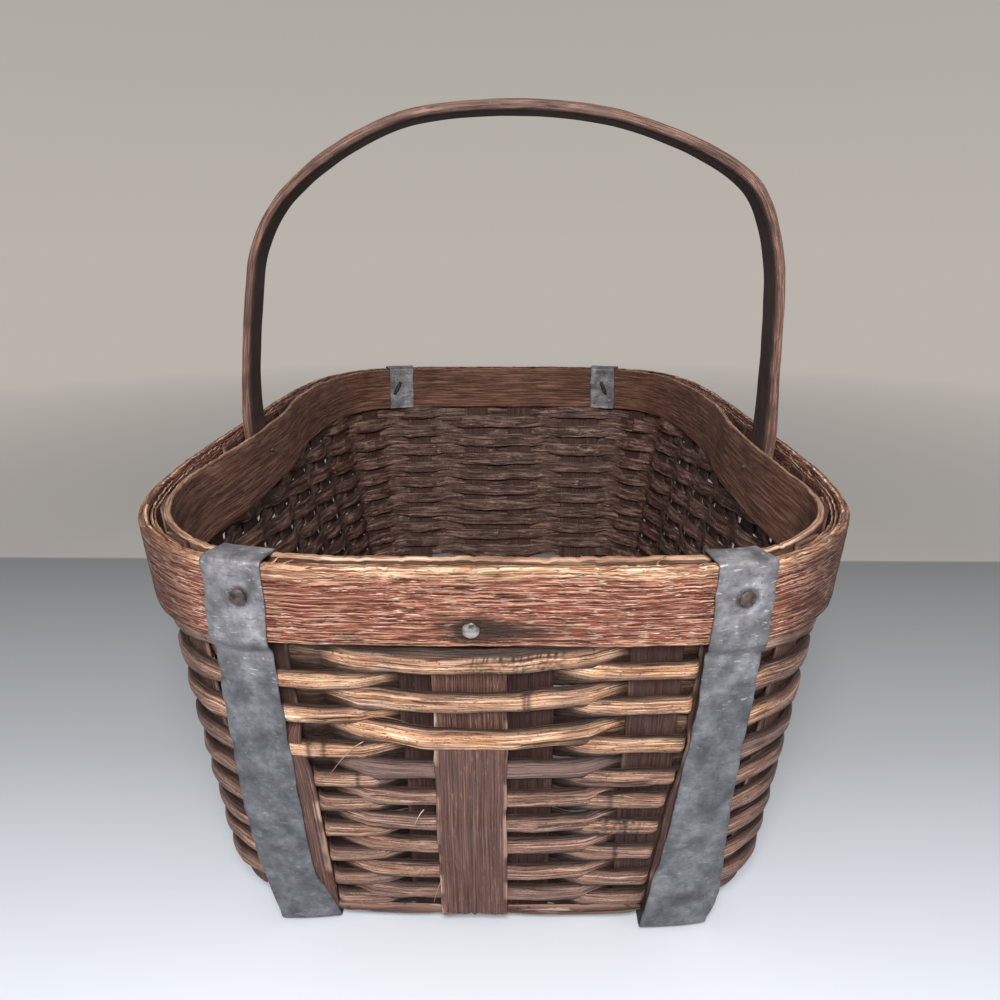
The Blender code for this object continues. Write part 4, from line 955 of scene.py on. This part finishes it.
# Ragged says how far the edge wanders, at the top and at the foot
def makeBand(name, node, inset, thickness, top, seed, ragged, steps, bulges=False):
    foot = wall["bandFoot"]
    total = 4 * quarterAt(top)
    reach = rim["fineReach"]
    seam = total / 2 - rim["seam"]
    run = np.r_[np.arange(-seam, -reach, rim["coarseStep"]), np.arange(-reach, reach, rim["fineStep"]),
                np.arange(reach, total - seam - 0.001, rim["coarseStep"])]
    count = len(run)
    rounding = rim["rounding"] if thickness > 0.002 else rim["thinRounding"]
    offsets = acrossPlaces(top - foot, steps, rounding)
    heights = foot + (offsets - offsets[0])
    chips = np.clip(lumps(run, 0.0, seed + 3, rim["edgeChip"], 1.0) * 2.2, 0, 1)
    dips = ragged[0] * (0.5 + 0.5 * drift(run, seed, 0.07) + 0.8 * chips)
    lifts = ragged[1] * (0.5 + 0.5 * drift(run, seed + 5, 0.06))
    columns = []
    for height in heights:
        local = run * quarterAt(height) / quarterAt(top)
        extra = legBulge(height, local) if bulges else 0.0
        columns.append(ringPoints(height, local, inset + thickness / 2 + extra))
    grid = np.stack(columns, axis=1)
    rise = ((heights - foot) / (top - foot))[None]
    grid[..., 2] += lifts[:, None] * (1 - rise) - dips[:, None] * rise
    grid[..., 2] -= frontSag(run[:, None], heights[None])
    normals = surfaceNormals(grid, closed=True)
    flip = np.sum(normals[:, steps // 2] * np.c_[facingAt(top, run), np.zeros(count)], axis=1)[:, None, None]
    normals = normals * np.sign(flip)
    fall = edgeFall(offsets, top - foot, rounding)[None]
    deepest = min(1.0, thickness / 0.005)
    ridges = abs(lumps(run[:, None], heights[None], seed, 0.060, 0.0034)) * 0.00030
    ridges = ridges + abs(lumps(run[:, None], heights[None], seed + 1, 0.014, 0.0014)) * 0.00036
    halfOut = thickness / 2 * fall - ridges * fall * deepest
    halfIn = thickness / 2 * fall - 0.0001 * fall * (1 + drift(run, seed + 8, 0.05))[:, None]
    rings = thicken(grid, normals, halfOut, halfIn)
    near = run[:, None]
    fromTop = (top - heights)[None] + 0.0026 * lumps(run[:, None], heights[None], seed + 2, 0.016, 0.006)
    fromFoot = (heights - foot)[None] + 0.0006 * lumps(run[:, None], heights[None], seed + 4, 0.012, 0.006)
    columns = len(heights)
    wearAndPaintedLight = noWear(rings)
    atFront = ease(-abs(near), -0.150, -0.110)
    # a pale strip at the top: sun bleach with a painted highlight, strongest at the front
    topBleachAndHighlight = ease(-fromTop, -0.0075, -0.0025) * (0.30 + 0.65 * atFront)
    # a painted highlight along the foot edge, used on the front
    footHighlight = ease(-fromFoot, -0.0022, -0.0004) * 0.8
    stain = bell(near, *rim["stain"][0]) * bell(heights[None], *rim["stain"][1])
    smear = bell(near, *rim["smear"][0]) * bell(heights[None], *rim["smear"][1])
    cornerDark = 2.3 * ease(abs(near), 0.118, 0.155)
    # a painted shadow along the straps' inner edges on the rim
    strapEdgeShadow = bell(abs(near), 0.0935, 0.0022) * (heights[None] > 0)
    if bulges:
        wearAndPaintedLight[:, columns:, 0] = (topBleachAndHighlight * 0.25)[:, ::-1]
        # the inner band's faces darker: dirt together with painted shade between the layers and inside the
        # basket
        wearAndPaintedLight[:, columns:, 1] = 0.42
        wearAndPaintedLight[:, :columns, 1] = 0.6
        wearAndPaintedLight[:, :columns, 0] = topBleachAndHighlight * 0.3
    else:
        stained = np.clip(1.35 * stain + 0.85 * smear, 0, 0.95) * atFront
        wearAndPaintedLight[:, :columns, 0] = np.clip(topBleachAndHighlight + footHighlight * atFront, 0, 1)
        wearAndPaintedLight[:, :columns, 1] = stained + 0.08 * cornerDark + 0.3 * strapEdgeShadow
        wearAndPaintedLight[:, :columns, 2] = 0.5 * smear * atFront + 0.35 * cornerDark + 0.05
        # the face turned inwards, between the layers, darker: dirt together with painted shade
        wearAndPaintedLight[:, columns:, 1] = 0.6
    edges = np.arange(columns - 4, columns + 2)  # pale along the top edge: bleach with a painted highlight
    wearAndPaintedLight[:, edges, 0] = np.maximum(wearAndPaintedLight[:, edges, 0], 0.5 + 0.3 * atFront)
    wearAndPaintedLight[:, edges, 1] = np.minimum(wearAndPaintedLight[:, edges, 1], 0.15)
    spans = np.r_[heights, heights[-1] + thickness + (heights[-1] - heights[::-1])]
    piece = layPiece(name, rings, run, spans + seed * 0.1, wearAndPaintedLight, closed=True)
    settle(piece, innerOak if bulges else rimOak, node)


secondInset = rim["middleInset"] + rim["middleThickness"] + rim["middleSpace"]
makeBand("outerBand", "rim_outer_band", rim["outerInset"], rim["outerThickness"], 0.218, 401,
         (0.0005, 0.0006), 30)
makeBand("middleStrip", "rim_middle_strip", rim["middleInset"], rim["middleThickness"], 0.2170, 402,
         (0.0012, 0.0004), 14)
makeBand("secondStrip", "rim_middle_strip", secondInset, rim["middleThickness"], 0.2164, 404,
         (0.0014, 0.0004), 14)
makeBand("innerBand", "rim_inner_band", rim["innerInset"], rim["innerThickness"], 0.218, 403,
         (0.0008, 0.0004), 30, True)
print("rim bent")

# Straps of galvanised sheet: inner tab, over the rim, down the band and the rods, under
# the floor and back. The front edges are (height, left edge, right edge); the back runs straight
straps = {
    "thickness": 0.0012, "width": 0.0285, "rounding": 0.0005, "bend": 0.006, "tab": 0.0405, "step": 0.008,
    "fold": 0.0022, "tabInset": 0.0157, "lowInset": 0.00355, "nailDrop": 0.0165, "ragged": 0.00035,
    "footOff": 0.0046, "twistOff": 0.0056,  # how far the front's foot stands off, and its twist takes back
    # creases as (height, reach, rise), and how far the rods behind have pressed the sheet out
    "creases": ((0.1485, 0.0018, 0.0005), (0.1525, 0.0014, -0.0004)), "creaseTilt": 0.03,
    "pressed": 0.0035, "pressedTop": 0.0005, "pressedLow": 0.00025,
    "left": {
        "nail": -0.1062, "back": -0.112, "foot": -0.1085, "twist": 1.0,
        "edges": ((0, -0.1080, -0.0785), (0.018, -0.1150, -0.0840), (0.036, -0.1230, -0.0915),
                  (0.067, -0.1255, -0.0930), (0.096, -0.1262, -0.0940), (0.141, -0.1268, -0.0957),
                  (0.165, -0.1252, -0.0960), (0.174, -0.1260, -0.0968), (0.198, -0.1232, -0.0951),
                  (0.22, -0.1232, -0.0951)),
    },
    "right": {
        "nail": 0.1092, "back": 0.1090, "foot": 0.1025, "twist": 0.0,
        "edges": ((0, 0.0755, 0.1060), (0.008, 0.0772, 0.1130), (0.018, 0.0795, 0.1190),
                  (0.039, 0.0838, 0.1205), (0.070, 0.0885, 0.1192), (0.098, 0.0905, 0.1198),
                  (0.116, 0.0927, 0.1206), (0.142, 0.0950, 0.1226), (0.174, 0.0952, 0.1230),
                  (0.199, 0.0953, 0.1225), (0.22, 0.0953, 0.1225)),
    },
}


def strapProfile():  # (height, inset) down one wall, evenly spaced
    half, fold, step, air = straps["thickness"] / 2, straps["fold"], straps["step"], wall["air"]
    tabInset, overInset, lowInset = straps["tabInset"] + half, -air - half, straps["lowInset"] - half
    shoulder, stepTop = wall["rimHeight"] + air + half - fold, wall["bandFoot"] - air
    shape = [(wall["rimHeight"] - straps["tab"], tabInset), (shoulder, tabInset)]
    shape += [(shoulder + fold * math.sin(turn), tabInset - fold + fold * math.cos(turn))
              for turn in np.linspace(0, math.pi / 2, 7)[1:]]
    shape += [(shoulder + fold * math.sin(turn), overInset + fold + fold * math.cos(turn))
              for turn in np.linspace(math.pi / 2, math.pi, 7)]
    shape += [(stepTop + 0.001, overInset), (stepTop - step * 0.35, overInset + 0.0008),
              (stepTop - step * 0.8, lowInset - 0.0002), (stepTop - step * 1.2, lowInset)]
    shape = np.array(shape + [(straps["bend"] + half, lowInset)])
    lengths = lengthsAlong(shape)
    even = np.unique(np.round(np.r_[np.linspace(0, lengths[-1], 250), lengths[:16]], 6))
    return np.c_[np.interp(even, lengths, shape[:, 0]), np.interp(even, lengths, shape[:, 1])]


def strapGrid(look, offsets, profile, seed):  # the sheet's middle, before its dents
    half, width = straps["thickness"] / 2, straps["width"]
    stepTop = wall["bandFoot"] - wall["air"]
    levels, lows, highs = np.array(look["edges"]).T
    halves = []
    for order, side in enumerate((frontSide, backSide)):
        rows = []
        loose = 0.0
        for height, inset in profile:
            if side == frontSide:
                near = np.clip(height + np.linspace(-0.008, 0.008, 7), 0, 0.22)
                low, high = np.interp(near, levels, lows).mean(), np.interp(near, levels, highs).mean()
                loose = straps["footOff"] - look["twist"] * straps["twistOff"] * (offsets / width + 0.5)
                loose = loose * ease(-height, -0.036, -0.004)
            else:
                centre = look["foot"] + (look["back"] - look["foot"]) * min(height / stepTop, 1.0)
                low, high = centre - width / 2, centre + width / 2
            low = low + straps["ragged"] * drift(height, seed + order, 0.03)
            high = high + straps["ragged"] * drift(height, seed + order + 4, 0.035)
            spread = (low + high) / 2 + offsets * (high - low) / width
            row = wallPoints(height, side, spread, inset - loose)
            if side == frontSide:
                row[:, 2] -= frontSag(spread, height)
            rows.append(row)
        corner = wallPoints(half, side, spread, profile[-1][1] - loose)
        halves.append(footBend(np.array(rows), corner, side, straps["bend"], 13))
    first, last = halves
    return np.concatenate([first, floorRun(first, last, 200), last[::-1]])


def makeStrap(name, node, look, seed):
    half = straps["thickness"] / 2
    offsets = acrossPlaces(straps["width"], 20, straps["rounding"])
    profile = strapProfile()
    grid = strapGrid(look, offsets, profile, seed)
    lengths = lengthsAlong(grid.mean(1))
    normals = surfaceNormals(grid)
    probe = len(profile) - 30  # a row on the front wall
    if normals[probe, len(offsets) // 2, 1] > 0:
        normals = -normals
    height = grid[..., 2] + frontSag(grid[..., 0], grid[..., 2]) * (grid[..., 1] < 0)
    onWall = ease(height, 0.006, 0.022)
    place = offsets[None] + 0 * lengths[:, None]
    dents = lumps(lengths[:, None], offsets[None], seed, 0.014, 0.020) * 0.0006
    dents = dents + lumps(lengths[:, None], offsets[None], seed + 1, 0.005, 0.008) * 0.0002
    lying = np.zeros(grid.shape[:2])  # the sheet has taken the rods' shape a little
    for row in range(1, 14, 2):
        level = rodHeights[row] + 0.001 + 0.06 * place * drift(row, seed, 3.0)
        rise = straps["pressedTop"] if row < 7 else straps["pressedLow"]
        lying += bell(height, level, straps["pressed"]) * rise
    creases = np.zeros(grid.shape[:2])
    for level, reach, rise in straps["creases"]:
        creases += bell(height, level + straps["creaseTilt"] * place, reach) * rise
    atRim = ease(height, 0.177, 0.182)
    nailHeight = wall["rimHeight"] - straps["nailDrop"]
    away = np.minimum(np.hypot(grid[..., 0] - look["nail"], height - nailHeight) + (grid[..., 1] > 0),
                      np.hypot(grid[..., 0] - look["back"], height - nailHeight) + (grid[..., 1] < 0))
    outerFace = ease(abs(grid[..., 1]), 0.2545, 0.2585)
    pulled = bell(away, 0.0, 0.0060) * 0.00012 * outerFace  # dished round the nail
    push = np.clip((dents + (lying + creases) * (1 - atRim)) * onWall - pulled, -0.0003, 0.0010)
    grid = grid + normals * push[..., None]
    halfThick = np.broadcast_to(half * edgeFall(offsets, straps["width"], straps["rounding"]), grid.shape[:2])
    rings = thicken(grid, normals, halfThick, halfThick)
    columns = len(offsets)
    wearAndPaintedLight = noWear(rings)
    wearAndPaintedLight[..., 0] = np.concatenate([ease(height, 0.130, 0.185)] * 2, axis=1)
    around = bell(away, 0.0045, 0.0009) * outerFace
    # painted shade in the crease
    grimeAndShade = 0.35 * bell(height, 0.1515 + straps["creaseTilt"] * place, 0.0012)
    # a painted shadow under the rim band's foot
    grimeAndShade = grimeAndShade + 0.55 * bell(height, 0.1745, 0.0016)
    # a painted shadow ring round the nail head, with grime
    grimeAndShade = grimeAndShade + 0.8 * around
    grimeAndShade = grimeAndShade + 0.30 * ease(lumps(lengths[:, None], offsets[None], seed + 6, 0.010, 0.010), 0.12, 0.5)
    # painted shade at the foot by the floor; darker on the fold and the inner tab
    grimeAndShade = grimeAndShade + 0.6 * ease(-height, -0.005, -0.002) + 0.3 * (1 - outerFace) * atRim
    # darker along both edges: painted contact shadow
    edge = 1 - np.clip((straps["width"] / 2 - abs(offsets)) / 0.0012, 0, 1)
    wearAndPaintedLight[:, :columns, 1] = grimeAndShade + 0.25 * edge[None]
    wearAndPaintedLight[:, columns:, 1] = 0.3
    wearAndPaintedLight[..., 2] = 0.25 + 0.6 * np.concatenate([ease(height, 0.120, 0.175)] * 2, axis=1)
    piece = layPiece(name, rings, lengths, np.r_[offsets, straps["width"] + offsets], wearAndPaintedLight)
    settle(piece, zinc, node)


makeStrap("leftStrap", "strap_left", straps["left"], 501)
makeStrap("rightStrap", "strap_right", straps["right"], 511)
print("straps folded")

# Nails: a dome cut from a ball, with its rim, neck and shank drawn down from the flat side
nails = {
    "headRadius": 0.0039, "headRise": 0.0016, "headRim": 0.0006, "headLift": 0.0004, "shankRadius": 0.0014,
    "beaten": 0.035, "strapLength": 0.0171, "strapCover": 0.0015, "rimLength": 0.0167, "rimPlace": -0.0076,
    "rimDrop": 0.0315, "legLength": 0.0259, "legDrop": 0.020,
    "clench": 0.0125, "clenchWidth": 0.0036, "tabFace": 0.0171,
}


def makeNail(name, node, place, outward, length, finish, seed):
    bpy.ops.object.select_all(action="DESELECT")
    bpy.ops.mesh.primitive_uv_sphere_add(segments=28, ring_count=14, radius=nails["headRadius"])
    piece = bpy.context.object
    piece.name = piece.data.name = name
    bpy.ops.object.mode_set(mode="EDIT")
    bpy.ops.mesh.select_all(action="SELECT")
    bpy.ops.mesh.bisect(plane_co=(0, 0, 0.0001), plane_no=(0, 0, 1), use_fill=True, clear_inner=True,
                        threshold=0.000001)
    bpy.ops.mesh.extrude_region_move(TRANSFORM_OT_translate={"value": (0, 0, -nails["headRim"])})
    bpy.ops.mesh.inset(thickness=nails["headRadius"] - nails["shankRadius"], depth=0)
    bpy.ops.mesh.extrude_region_move(TRANSFORM_OT_translate={"value": (0, 0, -length)})
    bpy.ops.mesh.select_all(action="SELECT")
    bpy.ops.mesh.normals_make_consistent(inside=False)
    bpy.ops.object.mode_set(mode="OBJECT")
    squash = (nails["headRise"] - nails["headLift"]) / nails["headRadius"]
    for vertex in piece.data.vertices:
        if vertex.co.z > 0.00005:
            vertex.co.z *= squash
        vertex.co.z += nails["headLift"]
        if vertex.co.z > -0.001:
            beaten = noise.noise(vertex.co * 420 + Vector((seed, 0, 0)))
            vertex.co.x *= 1 + nails["beaten"] * beaten
            vertex.co.y *= 1 - nails["beaten"] * beaten
            vertex.co.z += 0.00012 * beaten * (vertex.co.z > 0.0006)
    turn = Vector(outward).to_track_quat("Z", "Y").to_matrix().to_4x4()
    piece.data.transform(Matrix.Translation(place) @ turn)
    bpy.ops.object.shade_smooth_by_angle(angle=math.radians(45))
    settle(piece, finish, node)


def wallNormal(height, side, place):
    here = wallPoints(height, side, [place - 0.001, place + 0.001], 0.0)
    up = wallPoints(height + 0.001, side, place, 0.0)[0] - wallPoints(height - 0.001, side, place, 0.0)[0]
    return unit(np.cross(here[1] - here[0], up) * runSign[side])


def placeNail(name, node, side, place, drop, cover, length, finish, seed):
    height = wall["rimHeight"] - drop
    normal = wallNormal(height, side, place)
    point = wallPoints(height, side, place, -cover)[0] + normal * wall["air"]
    if side == frontSide:
        point[2] -= frontSag(place, height)
    makeNail(name, node, Vector(point), normal, length, finish, seed)


for label in ("left", "right"):
    for end, side in (("front", frontSide), ("back", backSide)):
        place = straps[label]["nail" if side == frontSide else "back"]
        placeNail(f"{label}Strap{end.title()}Nail", f"nail_strap_{end}_{label}", side, place,
                  straps["nailDrop"], nails["strapCover"], nails["strapLength"], rustedIron,
                  len(label) + len(end))


# Each strap nail is clenched: its end is bent over and lies against the tab inside
def makeClench(name, side, place, lean, seed):
    share = np.linspace(0, 1, 18)
    aside = place + lean * nails["clench"] * share
    heights = wall["rimHeight"] - straps["nailDrop"] + nails["clench"] * (0.25 - share)
    insets = nails["tabFace"] + 0.0010 * ease(share, 0.0, 0.22) - 0.0004 * ease(share, 0.8, 1.0)
    stations = zip(heights, aside, insets)
    points = np.concatenate([wallPoints(height, side, x, inset) for height, x, inset in stations])
    if side == frontSide:
        points[:, 2] -= frontSag(points[:, 0], points[:, 2])
    half = nails["clenchWidth"] / 2 * (1 + 0.15 * drift(share, seed, 0.3)) * np.clip(1.7 - share, 0.7, 1)
    rings = thinStrip(points, 0.1, 12, half[:, None, None], 0.62)
    spans = np.linspace(0, 2 * math.pi, 12, endpoint=False) * 0.0015
    piece = layPiece(name, rings, share * nails["clench"], spans)
    settle(piece, blackIron)


clenches = (  # the wall, the place and which way it leans
    (backSide, straps["left"]["back"] - 0.001, -0.65), (backSide, straps["right"]["back"] - 0.002, 0.5),
    (frontSide, straps["left"]["nail"], 0.4), (frontSide, straps["right"]["nail"], -0.6))
for number, (side, place, lean) in enumerate(clenches):
    makeClench(f"nailClench{number + 1}", side, place, lean, 540 + number)
placeNail("rimNail", "nail_rim_front", frontSide, nails["rimPlace"], nails["rimDrop"], 0.0,
          nails["rimLength"], brightIron, 3)
for label, side in (("left", leftSide), ("right", rightSide)):
    placeNail(f"{label}HandleNail", f"nail_handle_{label}", side, legPlace(side), nails["legDrop"], 0.0,
              nails["legLength"], rustedIron, 5)
print("nails driven")

# Loose fibres and shards: x and height of both ends on the front, how far they stand off the
# wall at each end, sideways bow and width (mm), and finish
shards = (
    (-56, 136.6, -37, 133.8, 0.6, 2.5, 0.6, 0.9, "rod"), (-59, 121.2, -75, 105.0, 0.4, 5.0, 1.6, 0.8, "rod"),
    (-32.5, 79.5, -37.5, 71.0, 0.5, 3.5, 0.8, 0.7, "splint"),
    (-26, 30, -30, 17, 0.5, 3.0, 1.2, 0.7, "splint"),
    (60, 89.5, 71, 88.0, 0.6, 2.0, 0.5, 0.8, "rod"), (-84, 10.0, -24, 8.0, -2.0, -2.0, -1.0, 7.5, "rod"),
    (78, 10.0, 6, 8.0, -2.0, -2.0, -1.0, 7.5, "rod"), (-74, 21.5, -66, 13.0, 0.5, 3.0, 1.0, 0.6, "rod"),
    (-93, 214, -88, 220.5, -1.5, -2.5, 0.8, 1.6, "rim"), (-90, 214, -82, 219.0, -1.0, -3.0, 1.0, 1.3, "rim"),
    (-92, 212, -84, 216.6, 0.2, 0.8, 0.4, 1.4, "rim"), (70, 213, 77, 219.5, -8.0, -8.5, 2.0, 1.2, "rim"),
    (83, 214, 91, 218.6, -1.2, -2.0, 0.6, 1.2, "rim"), (-62, 213.6, -48, 216.4, 0.1, 0.5, 0.4, 1.1, "rim"),
    (20, 213.2, 40, 216.2, 0.1, 0.5, 0.4, 1.1, "rim"), (-20, 212.8, -2, 215.8, 0.1, 0.4, 0.3, 1.0, "rim"),
    (48, 213.4, 60, 216.0, 0.1, 0.5, 0.4, 1.0, "rim"),
)
lowRod = 3  # mm wide, from which a shard is one of the low rod ends
shardFinish = {"rod": (willow, "rod_wood"), "splint": (splintAsh, "splint_wood"), "rim": (rimOak, "rim_wood")}


def makeShard(number, fromX, fromZ, toX, toZ, fromOut, toOut, bow, width, kind):
    share = np.linspace(0, 1, 16)
    inset = 0.0035 if kind != "rim" else 0.0012
    points = []
    for t in share:
        z = (fromZ + (toZ - fromZ) * t + bow * math.sin(math.pi * t)) / 1000
        out = (fromOut + (toOut - fromOut) * t * t) / 1000
        point = wallPoints(z, frontSide, (fromX + (toX - fromX) * t) / 1000, inset - out)[0]
        point[2] -= frontSag(point[0], z)
        points.append(point)
    points = np.array(points)
    narrow = 1.15 if width < lowRod else 1.75
    taper = np.clip(narrow - share, 0.12, 1) * np.clip(share * 6 + 0.4, 0, 1) * width / 2000
    rings = thinStrip(points, 0.15, 8, taper[:, None, None], 0.45)
    wearAndPaintedLight = noWear(rings)
    wearAndPaintedLight[..., 0] = 0.75 if width < lowRod else 0.1
    wearAndPaintedLight[..., 1] = 0.0 if width < lowRod else 0.5
    finish, slot = shardFinish[kind]
    lengths, spans = np.linspace(0, 0.02, 16) + number, np.linspace(0, 0.003, 8)
    piece = layPiece(f"shard{number:02d}", rings, lengths, spans, wearAndPaintedLight)
    settle(piece, finish)


for number, shard in enumerate(shards, 1):
    makeShard(number, *shard)
print("shards raised")

# Stage: a pale floor that turns to the room's grey far off, for the camera alone
stage = {
    "size": 12.0, "near": "e4e9f1", "middle": "b4b7bb", "far": "8a8c8b", "beyond": "bdb7b0",
    "from": -0.6, "to": 0.4, "line": 0.257, "lineHalf": 0.002,  # along Y, the floor is paler behind the line
    "fadeFrom": 0.62, "fadeTo": 1.9, "room": "b9b3ac", "roomTop": "a9a59c",
}


def floorPaint():
    material, tree, shader = newMaterial("paleFloorPaint")
    place = addNode(tree, "TexCoord", {}).node.outputs["Object"]
    depth = addNode(tree, "SeparateXYZ", {0: place}, 1)
    depth = addNode(tree, "MapRange", {"Value": depth, "From Min": stage["from"], "From Max": stage["to"]})
    line, half = stage["line"] - stage["from"], stage["lineHalf"]
    # painted light and shade: brightest near the front, in painted shade towards the wall
    color = addNode(tree, "ValToRGB", {0: depth}, ramp=(
        (0.25, stage["near"]), (0.5, stage["middle"]), (line - half, stage["far"]),
        (line + half, stage["beyond"])))
    tree.links.new(color, shader.inputs["Base Color"])
    shader.inputs["Roughness"].default_value = 0.65
    shader.inputs["Specular IOR Level"].default_value = 0.2
    seen = addNode(tree, "LightPath", {})
    away = addNode(tree, "VectorMath", {0: place}, 1, operation="LENGTH")
    fade = addNode(tree, "MapRange", {"Value": away, "From Min": stage["fadeFrom"],
                                      "From Max": stage["fadeTo"]})
    fade = addNode(tree, "Math", {0: fade, 1: seen}, operation="MULTIPLY")
    room = addNode(tree, "Emission", {"Color": stage["room"], "Strength": 1.0})
    mixed = addNode(tree, "MixShader", {0: fade, 1: shader.outputs[0], 2: room})
    tree.links.new(mixed, tree.nodes["Material Output"].inputs["Surface"])
    return material


bpy.ops.object.select_all(action="DESELECT")
bpy.ops.mesh.primitive_plane_add(size=stage["size"])
floor = bpy.context.object
floor.name = "paleFloor"
floor.data.materials.append(floorPaint())

# The camera, solved from the photograph
view = {"place": (0.0099, -0.570, 0.3403), "turnDegrees": (72.01, 0.11, 0.90), "sensor": 36, "lens": 28.08}
turns = [math.radians(turn) for turn in view["turnDegrees"]]
bpy.ops.object.camera_add(location=view["place"], rotation=turns)
camera = bpy.context.object
camera.data.sensor_width = view["sensor"]
camera.data.lens = view["lens"]
bpy.context.scene.camera = camera

lamps = {  # place, what it faces, size (m), power (W) and colour
    "windowLamp": ((0.0, -0.92, 0.82), (0, -0.1, 0.1), 0.4, 14.5, (1.0, 0.985, 0.97)),
    "leftLamp": ((-1.3, 0.9, 0.7), (0, 0, 0.1), 0.8, 1.2, (0.96, 0.98, 1.0)),
    "rightLamp": ((1.3, 0.9, 0.7), (0, 0, 0.1), 0.8, 1.6, (0.96, 0.98, 1.0)),
}


def softLamp(name, place, target, size, power, color):
    bpy.ops.object.light_add(type="AREA", location=place)
    lamp = bpy.context.object
    lamp.name = name
    lamp.data.size = size
    lamp.data.energy = power
    lamp.data.color = color
    lamp.rotation_euler = (Vector(place) - Vector(target)).to_track_quat("Z", "Y").to_euler()


for name, look in lamps.items():
    softLamp(name, *look)
world = bpy.data.worlds.new("softRoom")
bpy.context.scene.world = world
world.use_nodes = True
sky = world.node_tree
light = sky.nodes["Background"]
light.inputs[0].default_value = (0.94, 0.96, 1.0, 1.0)  # a cool room light, for all but the camera
light.inputs[1].default_value = 0.36
upwards = addNode(sky, "SeparateXYZ", {0: addNode(sky, "TexCoord", {})}, 2)
wallColor = addNode(sky, "ValToRGB", {0: upwards}, ramp=((0.0, stage["room"]), (0.4, stage["roomTop"])))
backdrop = addNode(sky, "Background", {"Color": wallColor, "Strength": 1.0})
mixed = addNode(sky, "MixShader", {0: addNode(sky, "LightPath", {}), 1: light.outputs[0], 2: backdrop})
sky.links.new(mixed, sky.nodes["World Output"].inputs["Surface"])
bpy.context.scene.view_settings.view_transform = "Standard"
print("lamps and camera placed")
